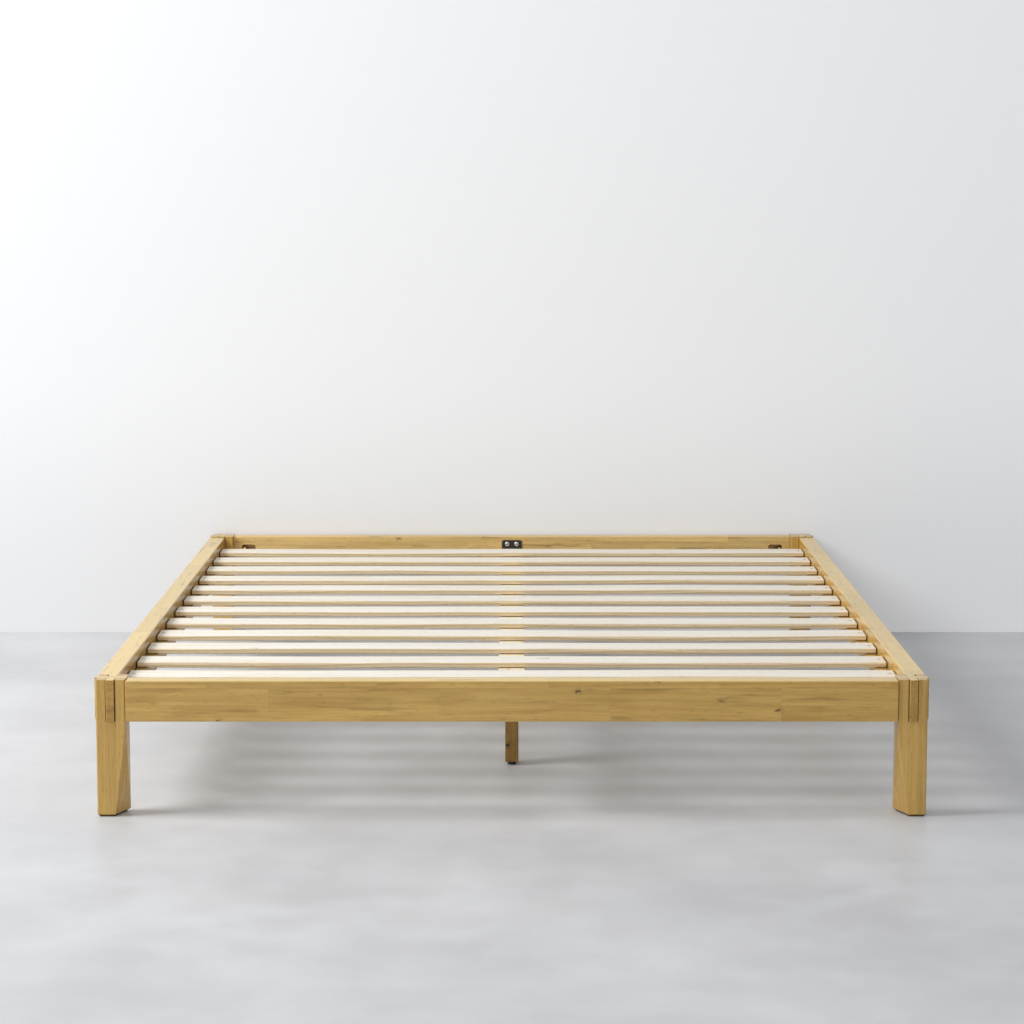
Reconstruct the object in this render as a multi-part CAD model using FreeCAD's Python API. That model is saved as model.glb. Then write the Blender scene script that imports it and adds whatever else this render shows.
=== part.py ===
"""Low slatted platform bed frame in solid wood, for a queen mattress, in millimetres.

Four corner legs carry four rails. Each leg has a cross-shaped slot, open at the top. The bare-faced
tenons of a side rail and an end rail pass right through it, lap over each other inside the leg and
end flush with its top.
Slats lie on two ledgers and a centre beam, and the beam stands on three small legs with screw feet.

The frame stands on the plane z = 0. X runs across the bed, Y runs from the foot end to the head end,
and the origin lies on the floor under the middle of the bed. Corner pieces are built once, at the
front left corner, and mirrored to the other three.
"""
import FreeCAD, Part
import math
import os

from FreeCAD import Vector

# ---- mattress and the play around it ---------------------------------------------------------
MATTRESS_WIDTH = 1524.0
MATTRESS_LENGTH = 2032.0
MATTRESS_SIDE_PLAY = 6.0
MATTRESS_END_PLAY = 12.0

# ---- heights ---------------------------------------------------------------------------------
PAD_THICKNESS = 2.0
RAIL_BOTTOM = 188.0            # clear height under the rails
RAIL_HEIGHT = 80.0
LEG_ABOVE_RAIL = 2.0           # leg top over rail top
SLAT_RECESS = 21.0             # rail top over slat top

# ---- corner legs -----------------------------------------------------------------------------
LEG_SIZE = 57.5
LEG_EDGE_ROUND = 3.0
LEG_TOP_CHAMFER = 1.0
LEG_FOOT_CHAMFER = 3.0
FOOT_FACE_WIDTH = 35.0         # width of each outer face that the facets leave at the floor
FACET_TOP_DROP = 3.0           # the facets run out this far under the rails
FACET_DEPTH_LEFT = 1.0         # inner side face that the facet leaves at the floor
PAD_INSET = 1.0                # pad edge inside the edge of the chamfered foot

# ---- rails and their joints ------------------------------------------------------------------
RAIL_THICKNESS = 40.0
RAIL_PROUD = 4.0               # rail face outside the leg face
RAIL_EDGE_ROUND = 2.5
SHOULDER_CHAMFER = 1.5
TENON_SETBACK = 20.3           # leg face to the tenon's outer cheek
TENON_PLAY = 0.8               # slot wall to tenon cheek
SLOT_MOUTH_CHAMFER = 1.2       # eased edges where a tenon comes out of the leg
SLOT_NOTCH_WIDTH = 3.0         # small notch in the leg top, outside the side rail's slot
SLOT_NOTCH_LENGTH = 10.0
SLOT_NOTCH_DEPTH = 15.0
SLOT_NOTCH_WALL = 4.5          # wood between the notch and the leg's inner end face
TENON_PROUD = 4.5              # tenon end outside the leg face
TENON_END_CHAMFER = 1.0

# ---- ledgers ---------------------------------------------------------------------------------
LEDGER_WIDTH = 25.0
LEDGER_HEIGHT = 27.0
LEDGER_END_GAP = 2.0
LEDGER_EDGE_ROUND = 1.5

# ---- slats -----------------------------------------------------------------------------------
SLAT_COUNT = 12
SLAT_WIDTH = 75.0
SLAT_THICKNESS = 12.0
SLAT_EDGE_ROUND = 3.5
SLAT_END_ROUND = 1.0
SLAT_END_GAP = 2.0
FRONT_SLAT_GAP = 118.0         # front rail to the first slat
BACK_SLAT_GAP = 90.0           # last slat to the back rail

# ---- centre beam, its brackets and its legs --------------------------------------------------
BEAM_WIDTH = 54.0
BEAM_HEIGHT = 38.0
BEAM_EDGE_ROUND = 2.0
BEAM_END_GAP = 1.0             # beam end to bracket plate
BRACKET_WIDTH = 53.0
BRACKET_GAUGE = 2.5
BRACKET_ABOVE_BEAM = 22.7
BRACKET_SHELF = 45.0           # shelf length under the beam
BRACKET_CORNER = 5.0
BRACKET_BEND = 4.0
CENTRE_LEG_COUNT = 3
CENTRE_LEG_WIDTH = 28.0
CENTRE_LEG_DEPTH = 40.0
CENTRE_LEG_END = 482.0         # leg faces of the bed's ends to the middle of the outer centre legs
CENTRE_LEG_ROUND = 1.5
LEG_STUD_RADIUS = 4.0
LEG_STUD_IN_LEG = 35.0
LEG_STUD_IN_BEAM = 28.0

# ---- screw feet ------------------------------------------------------------------------------
FOOT_BASE_RADIUS = 9.0
FOOT_BASE_HEIGHT = 7.0
FOOT_BASE_ROUND = 1.2
FOOT_TOP_GAP = 0.3             # base to leg, screwed fully in
FOOT_STEM_RADIUS = 4.0
FOOT_STEM_LENGTH = 34.0
FOOT_STEM_ROOT = 5.0           # stem moulded into the base
FOOT_BORE_PLAY = 0.5           # stem to the wood above the insert
FOOT_BORE_SPARE = 3.0          # bore above the stem's tip
FOOT_INSERT_RADIUS = 6.0
FOOT_INSERT_LENGTH = 14.0

# ---- corner bolts ----------------------------------------------------------------------------
POCKET_WIDTH = 37.0
POCKET_HEIGHT = 30.0
POCKET_CORNER = 7.0            # radius of the routed corners
POCKET_FROM_LEG = 40.0         # leg to the pocket's middle
POCKET_BELOW_TOP = 37.0        # rail top to the pocket's middle
POCKET_WALL = 7.0              # wood left at the rail's outer face
BOLT_SETBACK = 12.0            # leg face to the bolt's axis
BOLT_RADIUS = 4.0
BOLT_HOLE_PLAY = 0.5
BOLT_PAST_NUT = 10.0
CORNER_INSERT_RADIUS = 6.0
CORNER_INSERT_WALL = 6.5       # wood between the insert and the slot
WASHER_RADIUS = 8.0
WASHER_THICKNESS = 2.0
NUT_FLATS = 13.0
NUT_LENGTH = 6.5
THREAD_PLAY = 0.05             # thread in its insert or nut

# ---- wood screws -----------------------------------------------------------------------------
SCREW_RADIUS = 2.0
SCREW_HOLE_PLAY = 0.1
SCREW_HEAD_RADIUS = 4.0
SCREW_POINT = 5.0
SLAT_SCREW_LENGTH = 32.0
LEDGER_SCREW_LENGTH = 50.0
RECESS_WIDTH = 1.0             # arm of the cross recess
RECESS_LENGTH = 4.2
RECESS_DEPTH = 1.6
BRACKET_SCREW_SPACING = 25.0
BRACKET_SCREW_DROP = 10.0      # bracket top to the screws
BRACKET_SCREW_RADIUS = 3.0
BRACKET_SCREW_LENGTH = 26.0
BRACKET_HEAD_RADIUS = 6.2
BRACKET_HEAD_HEIGHT = 3.2
BRACKET_HEAD_ROUND = 1.2
HEX_SOCKET_FLATS = 5.0
HEX_SOCKET_DEPTH = 2.2
BEAM_SCREW_SPACING = 26.0
BEAM_SCREW_RADIUS = 2.2
BEAM_SCREW_LENGTH = 24.0
BEAM_HEAD_RADIUS = 4.5
BEAM_HEAD_HEIGHT = 2.6

# ---- places worked out from the sizes above --------------------------------------------------
rail_inset = RAIL_THICKNESS - RAIL_PROUD
half_width = MATTRESS_WIDTH / 2 + MATTRESS_SIDE_PLAY + rail_inset
half_length = MATTRESS_LENGTH / 2 + MATTRESS_END_PLAY + rail_inset
rail_top = RAIL_BOTTOM + RAIL_HEIGHT
lap_level = RAIL_BOTTOM + RAIL_HEIGHT / 2
leg_top = rail_top + LEG_ABOVE_RAIL
slot_low = TENON_SETBACK - TENON_PLAY
slot_high = rail_inset + TENON_PLAY
slat_top = rail_top - SLAT_RECESS
slat_bottom = slat_top - SLAT_THICKNESS
beam_bottom = slat_bottom - BEAM_HEIGHT
rail_face_x = half_width - rail_inset
rail_face_y = half_length - rail_inset
ledger_middle_x = rail_face_x - LEDGER_WIDTH / 2
ledger_half_length = half_length - LEG_SIZE - LEDGER_END_GAP
pocket_z = rail_top - POCKET_BELOW_TOP
centre_leg_bottom = FOOT_BASE_HEIGHT + FOOT_TOP_GAP
bracket_top = slat_bottom + BRACKET_ABOVE_BEAM

ALONG = {"x": Vector(1, 0, 0), "y": Vector(0, 1, 0), "z": Vector(0, 0, 1)}
FAR = 400.0                    # side of the blocks that cut along a plane
OVERRUN = 1.0                  # cutters run this far past the faces they open


# ---- small makers ----------------------------------------------------------------------------
def block(x_range, y_range, z_range):
    """A box between two corners, each range given as (low, high)."""
    corner = Vector(x_range[0], y_range[0], z_range[0])
    return Part.makeBox(x_range[1] - x_range[0], y_range[1] - y_range[0],
                        z_range[1] - z_range[0], corner)


def rod(start, axis, radius, length):
    """A cylinder from a point along an axis."""
    return Part.makeCylinder(radius, length, start, axis)


def plane_cutter(point, normal):
    """A large block that fills the side of a plane to which its normal points."""
    cutter = Part.makeBox(FAR, FAR, FAR, Vector(-FAR / 2, -FAR / 2, 0))
    turn = FreeCAD.Rotation(Vector(0, 0, 1), normal)
    cutter.Placement = FreeCAD.Placement(point, turn).multiply(cutter.Placement)
    return cutter


def edges_along(shape, axis):
    """The straight edges of a shape that run along an axis."""
    found = []
    for edge in shape.Edges:
        run = edge.Vertexes[-1].Point.sub(edge.Vertexes[0].Point)
        if run.Length > 0 and abs(run.dot(axis)) > 0.999 * run.Length:
            found.append(edge)
    return found


def edges_at(shape, axis, level):
    """The edges of a shape that lie wholly in the plane across an axis at a level."""
    found = []
    for edge in shape.Edges:
        box = edge.BoundBox
        low = Vector(box.XMin, box.YMin, box.ZMin).dot(axis)
        high = Vector(box.XMax, box.YMax, box.ZMax).dot(axis)
        if abs(low - level) < 0.01 and abs(high - level) < 0.01:
            found.append(edge)
    return found


def round_along(shape, axis_name, radius):
    """Round the straight edges that run along an axis."""
    return shape.makeFillet(radius, edges_along(shape, ALONG[axis_name]))


def board(x_range, y_range, z_range, axis_name, edge_round, end_chamfer):
    """A board along an axis, with rounded long edges and chamfered ends."""
    ranges = {"x": x_range, "y": y_range, "z": z_range}
    shape = round_along(block(x_range, y_range, z_range), axis_name, edge_round)
    for level in ranges[axis_name]:
        shape = shape.makeChamfer(end_chamfer, edges_at(shape, ALONG[axis_name], level))
    return shape


def hexagon_prism(centre, axis, flats, length):
    """A six-sided prism from a centre point along an axis."""
    corner_radius = flats / math.sqrt(3)
    corners = []
    for step in range(7):
        angle = math.radians(60 * step)
        corners.append(Vector(corner_radius * math.cos(angle), corner_radius * math.sin(angle), 0))
    prism = Part.Face(Part.makePolygon(corners)).extrude(Vector(0, 0, length))
    prism.Placement = FreeCAD.Placement(centre, FreeCAD.Rotation(Vector(0, 0, 1), axis))
    return prism


def mirrored(shape, across_x, across_y):
    """A shape, mirrored to the other side of the bed, the other end, or both."""
    if across_x:
        shape = shape.mirror(Vector(0, 0, 0), ALONG["x"])
    if across_y:
        shape = shape.mirror(Vector(0, 0, 0), ALONG["y"])
    return shape


def at_corners(shape):
    """A front left piece and its mirror images, by the name of the corner."""
    return {
        "front_left": shape,
        "front_right": mirrored(shape, True, False),
        "back_left": mirrored(shape, False, True),
        "back_right": mirrored(shape, True, True),
    }


def export(node, solids):
    """Write one sub-part, which may be a group of separate solids."""
    shape = solids[0] if len(solids) == 1 else Part.makeCompound(solids)
    shape.exportStep(os.path.join("parts", node + ".step"))


def corner_point(across, along, height):
    """A place at the front left corner, measured inwards from the leg's two outer faces."""
    return Vector(-half_width + across, -half_length + along, height)


# ---- wood screws -----------------------------------------------------------------------------
def countersunk_screw(head_centre, axis, length):
    """A countersunk wood screw whose flat head is flush at a point, with a cross recess."""
    cone_height = SCREW_HEAD_RADIUS - SCREW_RADIUS
    head = Part.makeCone(SCREW_HEAD_RADIUS, SCREW_RADIUS, cone_height, head_centre, axis)
    shank_end = head_centre + axis * (length - SCREW_POINT)
    shank = rod(head_centre + axis * cone_height, axis, SCREW_RADIUS,
                length - SCREW_POINT - cone_height)
    point = Part.makeCone(SCREW_RADIUS, 0, SCREW_POINT, shank_end, axis)
    screw = head.fuse([shank, point]).removeSplitter()
    turn = FreeCAD.Rotation(Vector(0, 0, 1), axis)
    for size_x, size_y in ((RECESS_LENGTH, RECESS_WIDTH), (RECESS_WIDTH, RECESS_LENGTH)):
        arm = Part.makeBox(size_x, size_y, RECESS_DEPTH + OVERRUN,
                           Vector(-size_x / 2, -size_y / 2, -OVERRUN))
        arm.Placement = FreeCAD.Placement(head_centre, turn).multiply(arm.Placement)
        screw = screw.cut(arm)
    return screw


def countersunk_hole(head_centre, axis, length):
    """The hole that a countersunk wood screw fills, to be cut from the wood."""
    cone_height = SCREW_HEAD_RADIUS - SCREW_RADIUS
    seat = Part.makeCone(SCREW_HEAD_RADIUS, SCREW_RADIUS, cone_height, head_centre, axis)
    shank = rod(head_centre, axis, SCREW_RADIUS + SCREW_HOLE_PLAY, length)
    return seat.fuse(shank)


def socket_screw(plate_point, axis, shank_radius, length, head_radius, head_height):
    """A screw whose round head stands on a plate, with a hexagon socket in the head."""
    back = axis * -1
    head = rod(plate_point, back, head_radius, head_height)
    rim = edges_at(head, back, (plate_point + back * head_height).dot(back))
    head = head.makeFillet(min(BRACKET_HEAD_ROUND, head_height / 2), rim)
    shank = rod(plate_point, axis, shank_radius, length - SCREW_POINT)
    point = Part.makeCone(shank_radius, 0, SCREW_POINT,
                          plate_point + axis * (length - SCREW_POINT), axis)
    socket_depth = min(HEX_SOCKET_DEPTH, head_height - OVERRUN)
    socket = hexagon_prism(plate_point + back * (head_height - socket_depth), back,
                           HEX_SOCKET_FLATS, socket_depth + OVERRUN)
    return head.fuse([shank, point]).removeSplitter().cut(socket)


# ---- corner legs and pads --------------------------------------------------------------------
def facet_planes():
    """The two planes that taper a leg, each as a point and a normal that points out of the leg.

    One plane meets the outer end face, the other meets the outer side face. Each starts in a point
    on the leg's vertical edge just under the rail and grows wider down to the floor.
    """
    start_height = RAIL_BOTTOM - FACET_TOP_DROP
    foot_depth = LEG_SIZE - FACET_DEPTH_LEFT
    planes = []
    for swap in (False, True):
        points = []
        for across, along, height in ((LEG_SIZE, 0.0, start_height),
                                      (FOOT_FACE_WIDTH, 0.0, PAD_THICKNESS),
                                      (LEG_SIZE, foot_depth, PAD_THICKNESS)):
            if swap:
                across, along = along, across
            points.append(corner_point(across, along, height))
        normal = (points[1] - points[0]).cross(points[2] - points[0])
        outward = corner_point(LEG_SIZE / 2, LEG_SIZE / 2, PAD_THICKNESS)
        if (outward - points[0]).dot(normal) > 0:
            normal = normal * -1
        planes.append((points[0], points[1], normal.normalize()))
    return planes


def foot_sides():
    """The sides of a leg's foot, each as a point on the side at foot level and its level normal."""
    sides = [
        (corner_point(0, 0, PAD_THICKNESS), Vector(-1, 0, 0)),
        (corner_point(0, 0, PAD_THICKNESS), Vector(0, -1, 0)),
        (corner_point(LEG_SIZE, LEG_SIZE, PAD_THICKNESS), Vector(1, 0, 0)),
        (corner_point(LEG_SIZE, LEG_SIZE, PAD_THICKNESS), Vector(0, 1, 0)),
    ]
    for _, foot_point, normal in facet_planes():
        sides.append((foot_point, Vector(normal.x, normal.y, 0).normalize()))
    return sides


def slot_mouth_edges(leg):
    """The edges around the slot's mouths in the leg's two outer faces."""
    found = []
    for face_axis, run_axis, face, start in (("x", "y", -half_width, -half_length),
                                             ("y", "x", -half_length, -half_width)):
        for edge in edges_at(leg, ALONG[face_axis], face):
            box = edge.BoundBox
            low = Vector(box.XMin, box.YMin, 0).dot(ALONG[run_axis]) - start
            high = Vector(box.XMax, box.YMax, 0).dot(ALONG[run_axis]) - start
            if low > slot_low - 0.01 and high < slot_high + 0.01 and box.ZMin > RAIL_BOTTOM - 0.01:
                found.append(edge)
    return found


def corner_leg():
    """One corner leg with its cross slot, its two facets and the hole for the bolt's insert."""
    blank = block((-half_width, -half_width + LEG_SIZE), (-half_length, -half_length + LEG_SIZE),
                  (PAD_THICKNESS, leg_top))
    leg = round_along(blank, "z", LEG_EDGE_ROUND)
    leg = leg.makeChamfer(LEG_TOP_CHAMFER, edges_at(leg, ALONG["z"], leg_top))
    for start, _, normal in facet_planes():
        leg = leg.cut(plane_cutter(start, normal))
    for point, normal in foot_sides():
        slope = (normal - ALONG["z"]).normalize()
        leg = leg.cut(plane_cutter(point + ALONG["z"] * LEG_FOOT_CHAMFER, slope))
    past = (-OVERRUN, LEG_SIZE + OVERRUN)
    slot = (slot_low, slot_high)
    for across, along in ((slot, past), (past, slot)):
        leg = leg.cut(block((-half_width + across[0], -half_width + across[1]),
                            (-half_length + along[0], -half_length + along[1]),
                            (RAIL_BOTTOM, leg_top + OVERRUN)))
    leg = leg.makeChamfer(SLOT_MOUTH_CHAMFER, slot_mouth_edges(leg))
    notch_end = -half_length + LEG_SIZE - SLOT_NOTCH_WALL
    leg = leg.cut(block((-half_width + slot_low - SLOT_NOTCH_WIDTH, -half_width + slot_high),
                        (notch_end - SLOT_NOTCH_LENGTH, notch_end),
                        (leg_top - SLOT_NOTCH_DEPTH, leg_top + OVERRUN)))
    insert = corner_insert_length()
    hole = rod(corner_point(LEG_SIZE - insert, BOLT_SETBACK, pocket_z), ALONG["x"],
               CORNER_INSERT_RADIUS, insert + OVERRUN)
    return leg.cut(hole)


def leg_pad():
    """The thin pad under a leg, a plain inset of the foot's outline."""
    pad = block((-half_width, -half_width + LEG_SIZE), (-half_length, -half_length + LEG_SIZE),
                (0, PAD_THICKNESS))
    for point, normal in foot_sides():
        inset = LEG_FOOT_CHAMFER + PAD_INSET
        pad = pad.cut(plane_cutter(point - normal * inset - ALONG["z"] * FAR / 2, normal))
    return pad


# ---- rails -----------------------------------------------------------------------------------
def rail_block(axis_name, along, across, heights):
    """A box, given by its range along a rail, its range across the rail and its heights."""
    if axis_name == "x":
        return block(along, across, heights)
    return block(across, along, heights)


def lap_notch(axis_name, upper):
    """The cutters that halve a rail's two tenons where the other rail's tenons cross them."""
    outer, other = (half_width, half_length) if axis_name == "x" else (half_length, half_width)
    heights = (lap_level, leg_top + OVERRUN) if upper else (RAIL_BOTTOM - OVERRUN, lap_level)
    across = (-other - FAR, other + FAR)
    cutters = []
    for side in (-1, 1):
        along = sorted((side * (outer - slot_low), side * (outer - slot_high)))
        cutters.append(rail_block(axis_name, along, across, heights))
    return cutters


def rail(axis_name, upper_notch):
    """One rail on the low side of the bed: a body, two bare-faced tenons and the lap notches.

    The tenons are taller than the body, so that they end flush with the leg tops.
    """
    reach, other = (half_width, half_length) if axis_name == "x" else (half_length, half_width)
    body_half = reach - LEG_SIZE
    shoulder_half = body_half - SHOULDER_CHAMFER
    tenon_half = reach + TENON_PROUD
    body_range = (-body_half, body_half)
    faces = (-other - RAIL_PROUD, -other + rail_inset)
    cheeks = (-other + TENON_SETBACK, -other + rail_inset)
    ranges = (body_range, faces) if axis_name == "x" else (faces, body_range)
    body = board(ranges[0], ranges[1], (RAIL_BOTTOM, rail_top), axis_name, RAIL_EDGE_ROUND,
                 SHOULDER_CHAMFER)
    tongue = rail_block(axis_name, (-tenon_half, tenon_half), cheeks, (RAIL_BOTTOM, leg_top))
    for level in (-tenon_half, tenon_half):
        tongue = tongue.makeChamfer(TENON_END_CHAMFER, edges_at(tongue, ALONG[axis_name], level))
    wide = (cheeks[0] - OVERRUN, cheeks[1] + OVERRUN)
    inside_body = rail_block(axis_name, (-shoulder_half, shoulder_half), wide,
                             (RAIL_BOTTOM - OVERRUN, leg_top + OVERRUN))
    over_body = rail_block(axis_name, body_range, wide, (rail_top, leg_top + OVERRUN))
    shape = body.fuse(tongue.cut([inside_body, over_body])).removeSplitter()
    return shape.cut(lap_notch(axis_name, upper_notch))


def pocket_cutter():
    """The routed pocket with round corners, and the bolt hole from it to the rail's shoulder."""
    middle = LEG_SIZE + POCKET_FROM_LEG
    floor = POCKET_WALL - RAIL_PROUD
    low = corner_point(middle - POCKET_WIDTH / 2, floor, pocket_z - POCKET_HEIGHT / 2)
    high = corner_point(middle + POCKET_WIDTH / 2, rail_inset + OVERRUN,
                        pocket_z + POCKET_HEIGHT / 2)
    pocket = block((low.x, high.x), (low.y, high.y), (low.z, high.z))
    hole = rod(corner_point(LEG_SIZE - OVERRUN, BOLT_SETBACK, pocket_z), ALONG["x"],
               BOLT_RADIUS + BOLT_HOLE_PLAY, middle - LEG_SIZE + OVERRUN)
    return round_along(pocket, "y", POCKET_CORNER).fuse(hole)


def bracket_screw_places():
    """Where the two bracket screws meet the front rail's bracket plate."""
    face = -rail_face_y + BRACKET_GAUGE
    height = bracket_top - BRACKET_SCREW_DROP
    half = BRACKET_SCREW_SPACING / 2
    return [Vector(-half, face, height), Vector(half, face, height)]


def end_rail():
    """The front rail, with bolt pockets at both ends and pilot holes for the beam bracket."""
    shape = rail("x", False)
    pocket = pocket_cutter()
    shape = shape.cut([pocket, mirrored(pocket, True, False)])
    pilots = []
    for place in bracket_screw_places():
        pilots.append(rod(place, Vector(0, -1, 0), BRACKET_SCREW_RADIUS + SCREW_HOLE_PLAY,
                          BRACKET_SCREW_LENGTH))
    return shape.cut(pilots)


def ledger_screw_places():
    """The heads of the left ledger's screws, in every second gap between the slats.

    They run sideways through the ledger into the left rail.
    """
    middles = slat_middles()
    height = slat_bottom - LEDGER_HEIGHT / 2
    places = []
    for slat_index in range(0, SLAT_COUNT - 1, 2):
        gap_middle = (middles[slat_index] + middles[slat_index + 1]) / 2
        places.append(Vector(-rail_face_x + LEDGER_WIDTH, gap_middle, height))
    return places


def side_rail():
    """The left rail, with the pilot holes of the ledger's screws."""
    shape = rail("y", True)
    pilots = []
    for place in ledger_screw_places():
        pilots.append(rod(place, Vector(-1, 0, 0), SCREW_RADIUS + SCREW_HOLE_PLAY,
                          LEDGER_SCREW_LENGTH))
    return shape.cut(pilots)


# ---- slats and ledgers -----------------------------------------------------------------------
def slat_middles():
    """The Y place of the middle of each slat, from the front."""
    first = -rail_face_y + FRONT_SLAT_GAP + SLAT_WIDTH / 2
    last = rail_face_y - BACK_SLAT_GAP - SLAT_WIDTH / 2
    pitch = (last - first) / (SLAT_COUNT - 1)
    return [first + pitch * step for step in range(SLAT_COUNT)]


def slat_screw_places():
    """The heads of the left ends' slat screws, over the middle of the left ledger."""
    return [Vector(-ledger_middle_x, middle, slat_top) for middle in slat_middles()]


def ledger():
    """The left ledger, with the holes for its own screws and for those of the slats."""
    shape = board((-rail_face_x, -rail_face_x + LEDGER_WIDTH),
                  (-ledger_half_length, ledger_half_length),
                  (slat_bottom - LEDGER_HEIGHT, slat_bottom), "y",
                  LEDGER_EDGE_ROUND, LEDGER_EDGE_ROUND / 2)
    holes = []
    for place in ledger_screw_places():
        holes.append(countersunk_hole(place, Vector(-1, 0, 0), LEDGER_SCREW_LENGTH))
    for place in slat_screw_places():
        holes.append(rod(place, Vector(0, 0, -1), SCREW_RADIUS + SCREW_HOLE_PLAY,
                         SLAT_SCREW_LENGTH))
    return shape.cut(holes)


def slat(middle):
    """One slat across the bed, with a countersunk hole near each end."""
    half = rail_face_x - SLAT_END_GAP
    shape = block((-half, half), (middle - SLAT_WIDTH / 2, middle + SLAT_WIDTH / 2),
                  (slat_bottom, slat_top))
    shape = round_along(shape, "z", SLAT_END_ROUND)
    shape = round_along(shape, "x", SLAT_EDGE_ROUND)
    holes = []
    for side in (-1, 1):
        place = Vector(side * ledger_middle_x, middle, slat_top)
        holes.append(countersunk_hole(place, Vector(0, 0, -1), SLAT_SCREW_LENGTH))
    return shape.cut(holes)


# ---- centre beam and brackets ----------------------------------------------------------------
def centre_leg_middles():
    """The Y place of each centre leg, from the front."""
    first = -half_length + CENTRE_LEG_END
    pitch = -2 * first / (CENTRE_LEG_COUNT - 1)
    return [first + pitch * step for step in range(CENTRE_LEG_COUNT)]


def beam_screw_places():
    """Where the two screws under the front bracket's shelf meet the shelf."""
    middle = -rail_face_y + BRACKET_SHELF / 2 + BRACKET_GAUGE
    half = BEAM_SCREW_SPACING / 2
    height = beam_bottom - BRACKET_GAUGE
    return [Vector(-half, middle, height), Vector(half, middle, height)]


def beam_bracket():
    """The front bracket: a plate on the rail, bent forward into a shelf under the beam."""
    back = -rail_face_y
    half = BRACKET_WIDTH / 2
    low = beam_bottom - BRACKET_GAUGE
    outline = [(back, low), (back + BRACKET_SHELF, low), (back + BRACKET_SHELF, beam_bottom),
               (back + BRACKET_GAUGE, beam_bottom), (back + BRACKET_GAUGE, bracket_top),
               (back, bracket_top), (back, low)]
    profile = Part.makePolygon([Vector(-half, y, z) for y, z in outline])
    shape = Part.Face(profile).extrude(Vector(2 * half, 0, 0))
    bend = [edge for edge in edges_along(shape, ALONG["x"])
            if abs(edge.BoundBox.YMin - back) < 0.01 and abs(edge.BoundBox.ZMin - low) < 0.01]
    shape = shape.makeFillet(min(BRACKET_BEND, BRACKET_GAUGE * 0.9), bend)
    corners = [edge for edge in edges_along(shape, ALONG["y"])
               if edge.BoundBox.ZMin > bracket_top - 0.01]
    shape = shape.makeFillet(BRACKET_CORNER, corners)
    holes = []
    for place in bracket_screw_places():
        holes.append(rod(place - ALONG["y"] * FAR / 2, ALONG["y"],
                         BRACKET_SCREW_RADIUS + SCREW_HOLE_PLAY, FAR / 2 + OVERRUN))
    for place in beam_screw_places():
        holes.append(rod(place - ALONG["z"] * OVERRUN, ALONG["z"],
                         BEAM_SCREW_RADIUS + SCREW_HOLE_PLAY, BRACKET_GAUGE + 2 * OVERRUN))
    return shape.cut(holes)


def beam_screws():
    """The two screws that hold the beam's front end down on its shelf."""
    return [socket_screw(place, ALONG["z"], BEAM_SCREW_RADIUS, BEAM_SCREW_LENGTH,
                         BEAM_HEAD_RADIUS, BEAM_HEAD_HEIGHT) for place in beam_screw_places()]


def centre_beam():
    """The beam under the middle of the slats, with the holes of its screws and leg studs."""
    half = rail_face_y - BRACKET_GAUGE - BEAM_END_GAP
    shape = board((-BEAM_WIDTH / 2, BEAM_WIDTH / 2), (-half, half), (beam_bottom, slat_bottom),
                  "y", BEAM_EDGE_ROUND, BEAM_EDGE_ROUND / 2)
    holes = []
    for place in beam_screw_places():
        hole = rod(place, ALONG["z"], BEAM_SCREW_RADIUS + SCREW_HOLE_PLAY, BEAM_SCREW_LENGTH)
        holes += [hole, mirrored(hole, False, True)]
    for middle in centre_leg_middles():
        holes.append(rod(Vector(0, middle, beam_bottom - OVERRUN), ALONG["z"],
                         LEG_STUD_RADIUS + THREAD_PLAY, LEG_STUD_IN_BEAM + OVERRUN))
    return shape.cut(holes)


# ---- centre legs and screw feet --------------------------------------------------------------
def centre_leg(middle):
    """One centre leg, with the stud's hole in its top and the screw foot's bore in its bottom."""
    shape = board((-CENTRE_LEG_WIDTH / 2, CENTRE_LEG_WIDTH / 2),
                  (middle - CENTRE_LEG_DEPTH / 2, middle + CENTRE_LEG_DEPTH / 2),
                  (centre_leg_bottom, beam_bottom), "z", CENTRE_LEG_ROUND, CENTRE_LEG_ROUND / 2)
    bottom = Vector(0, middle, centre_leg_bottom - OVERRUN)
    stem_top = FOOT_BASE_HEIGHT - FOOT_STEM_ROOT + FOOT_STEM_LENGTH
    cutters = [
        rod(Vector(0, middle, beam_bottom - LEG_STUD_IN_LEG), ALONG["z"],
            LEG_STUD_RADIUS + THREAD_PLAY, LEG_STUD_IN_LEG + OVERRUN),
        rod(bottom, ALONG["z"], FOOT_INSERT_RADIUS, FOOT_INSERT_LENGTH + OVERRUN),
        rod(bottom, ALONG["z"], FOOT_STEM_RADIUS + FOOT_BORE_PLAY,
            stem_top + FOOT_BORE_SPARE - bottom.z),
    ]
    return shape.cut(cutters)


def leg_stud(middle):
    """The threaded stud that joins a centre leg to the beam."""
    return rod(Vector(0, middle, beam_bottom - LEG_STUD_IN_LEG), ALONG["z"], LEG_STUD_RADIUS,
               LEG_STUD_IN_LEG + LEG_STUD_IN_BEAM)


def foot_insert(middle):
    """The threaded insert, flush in the bottom of a centre leg, that the foot turns in."""
    start = Vector(0, middle, centre_leg_bottom)
    sleeve = rod(start, ALONG["z"], FOOT_INSERT_RADIUS, FOOT_INSERT_LENGTH)
    return sleeve.cut(rod(start, ALONG["z"], FOOT_STEM_RADIUS + THREAD_PLAY, FOOT_INSERT_LENGTH))


def foot_base(middle):
    """The round plastic base of a screw foot, with a socket where the stem is moulded in."""
    base = rod(Vector(0, middle, 0), ALONG["z"], FOOT_BASE_RADIUS, FOOT_BASE_HEIGHT)
    base = base.makeFillet(FOOT_BASE_ROUND, edges_at(base, ALONG["z"], FOOT_BASE_HEIGHT))
    return base.cut(rod(Vector(0, middle, FOOT_BASE_HEIGHT - FOOT_STEM_ROOT), ALONG["z"],
                        FOOT_STEM_RADIUS, FOOT_STEM_ROOT + OVERRUN))


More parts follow.
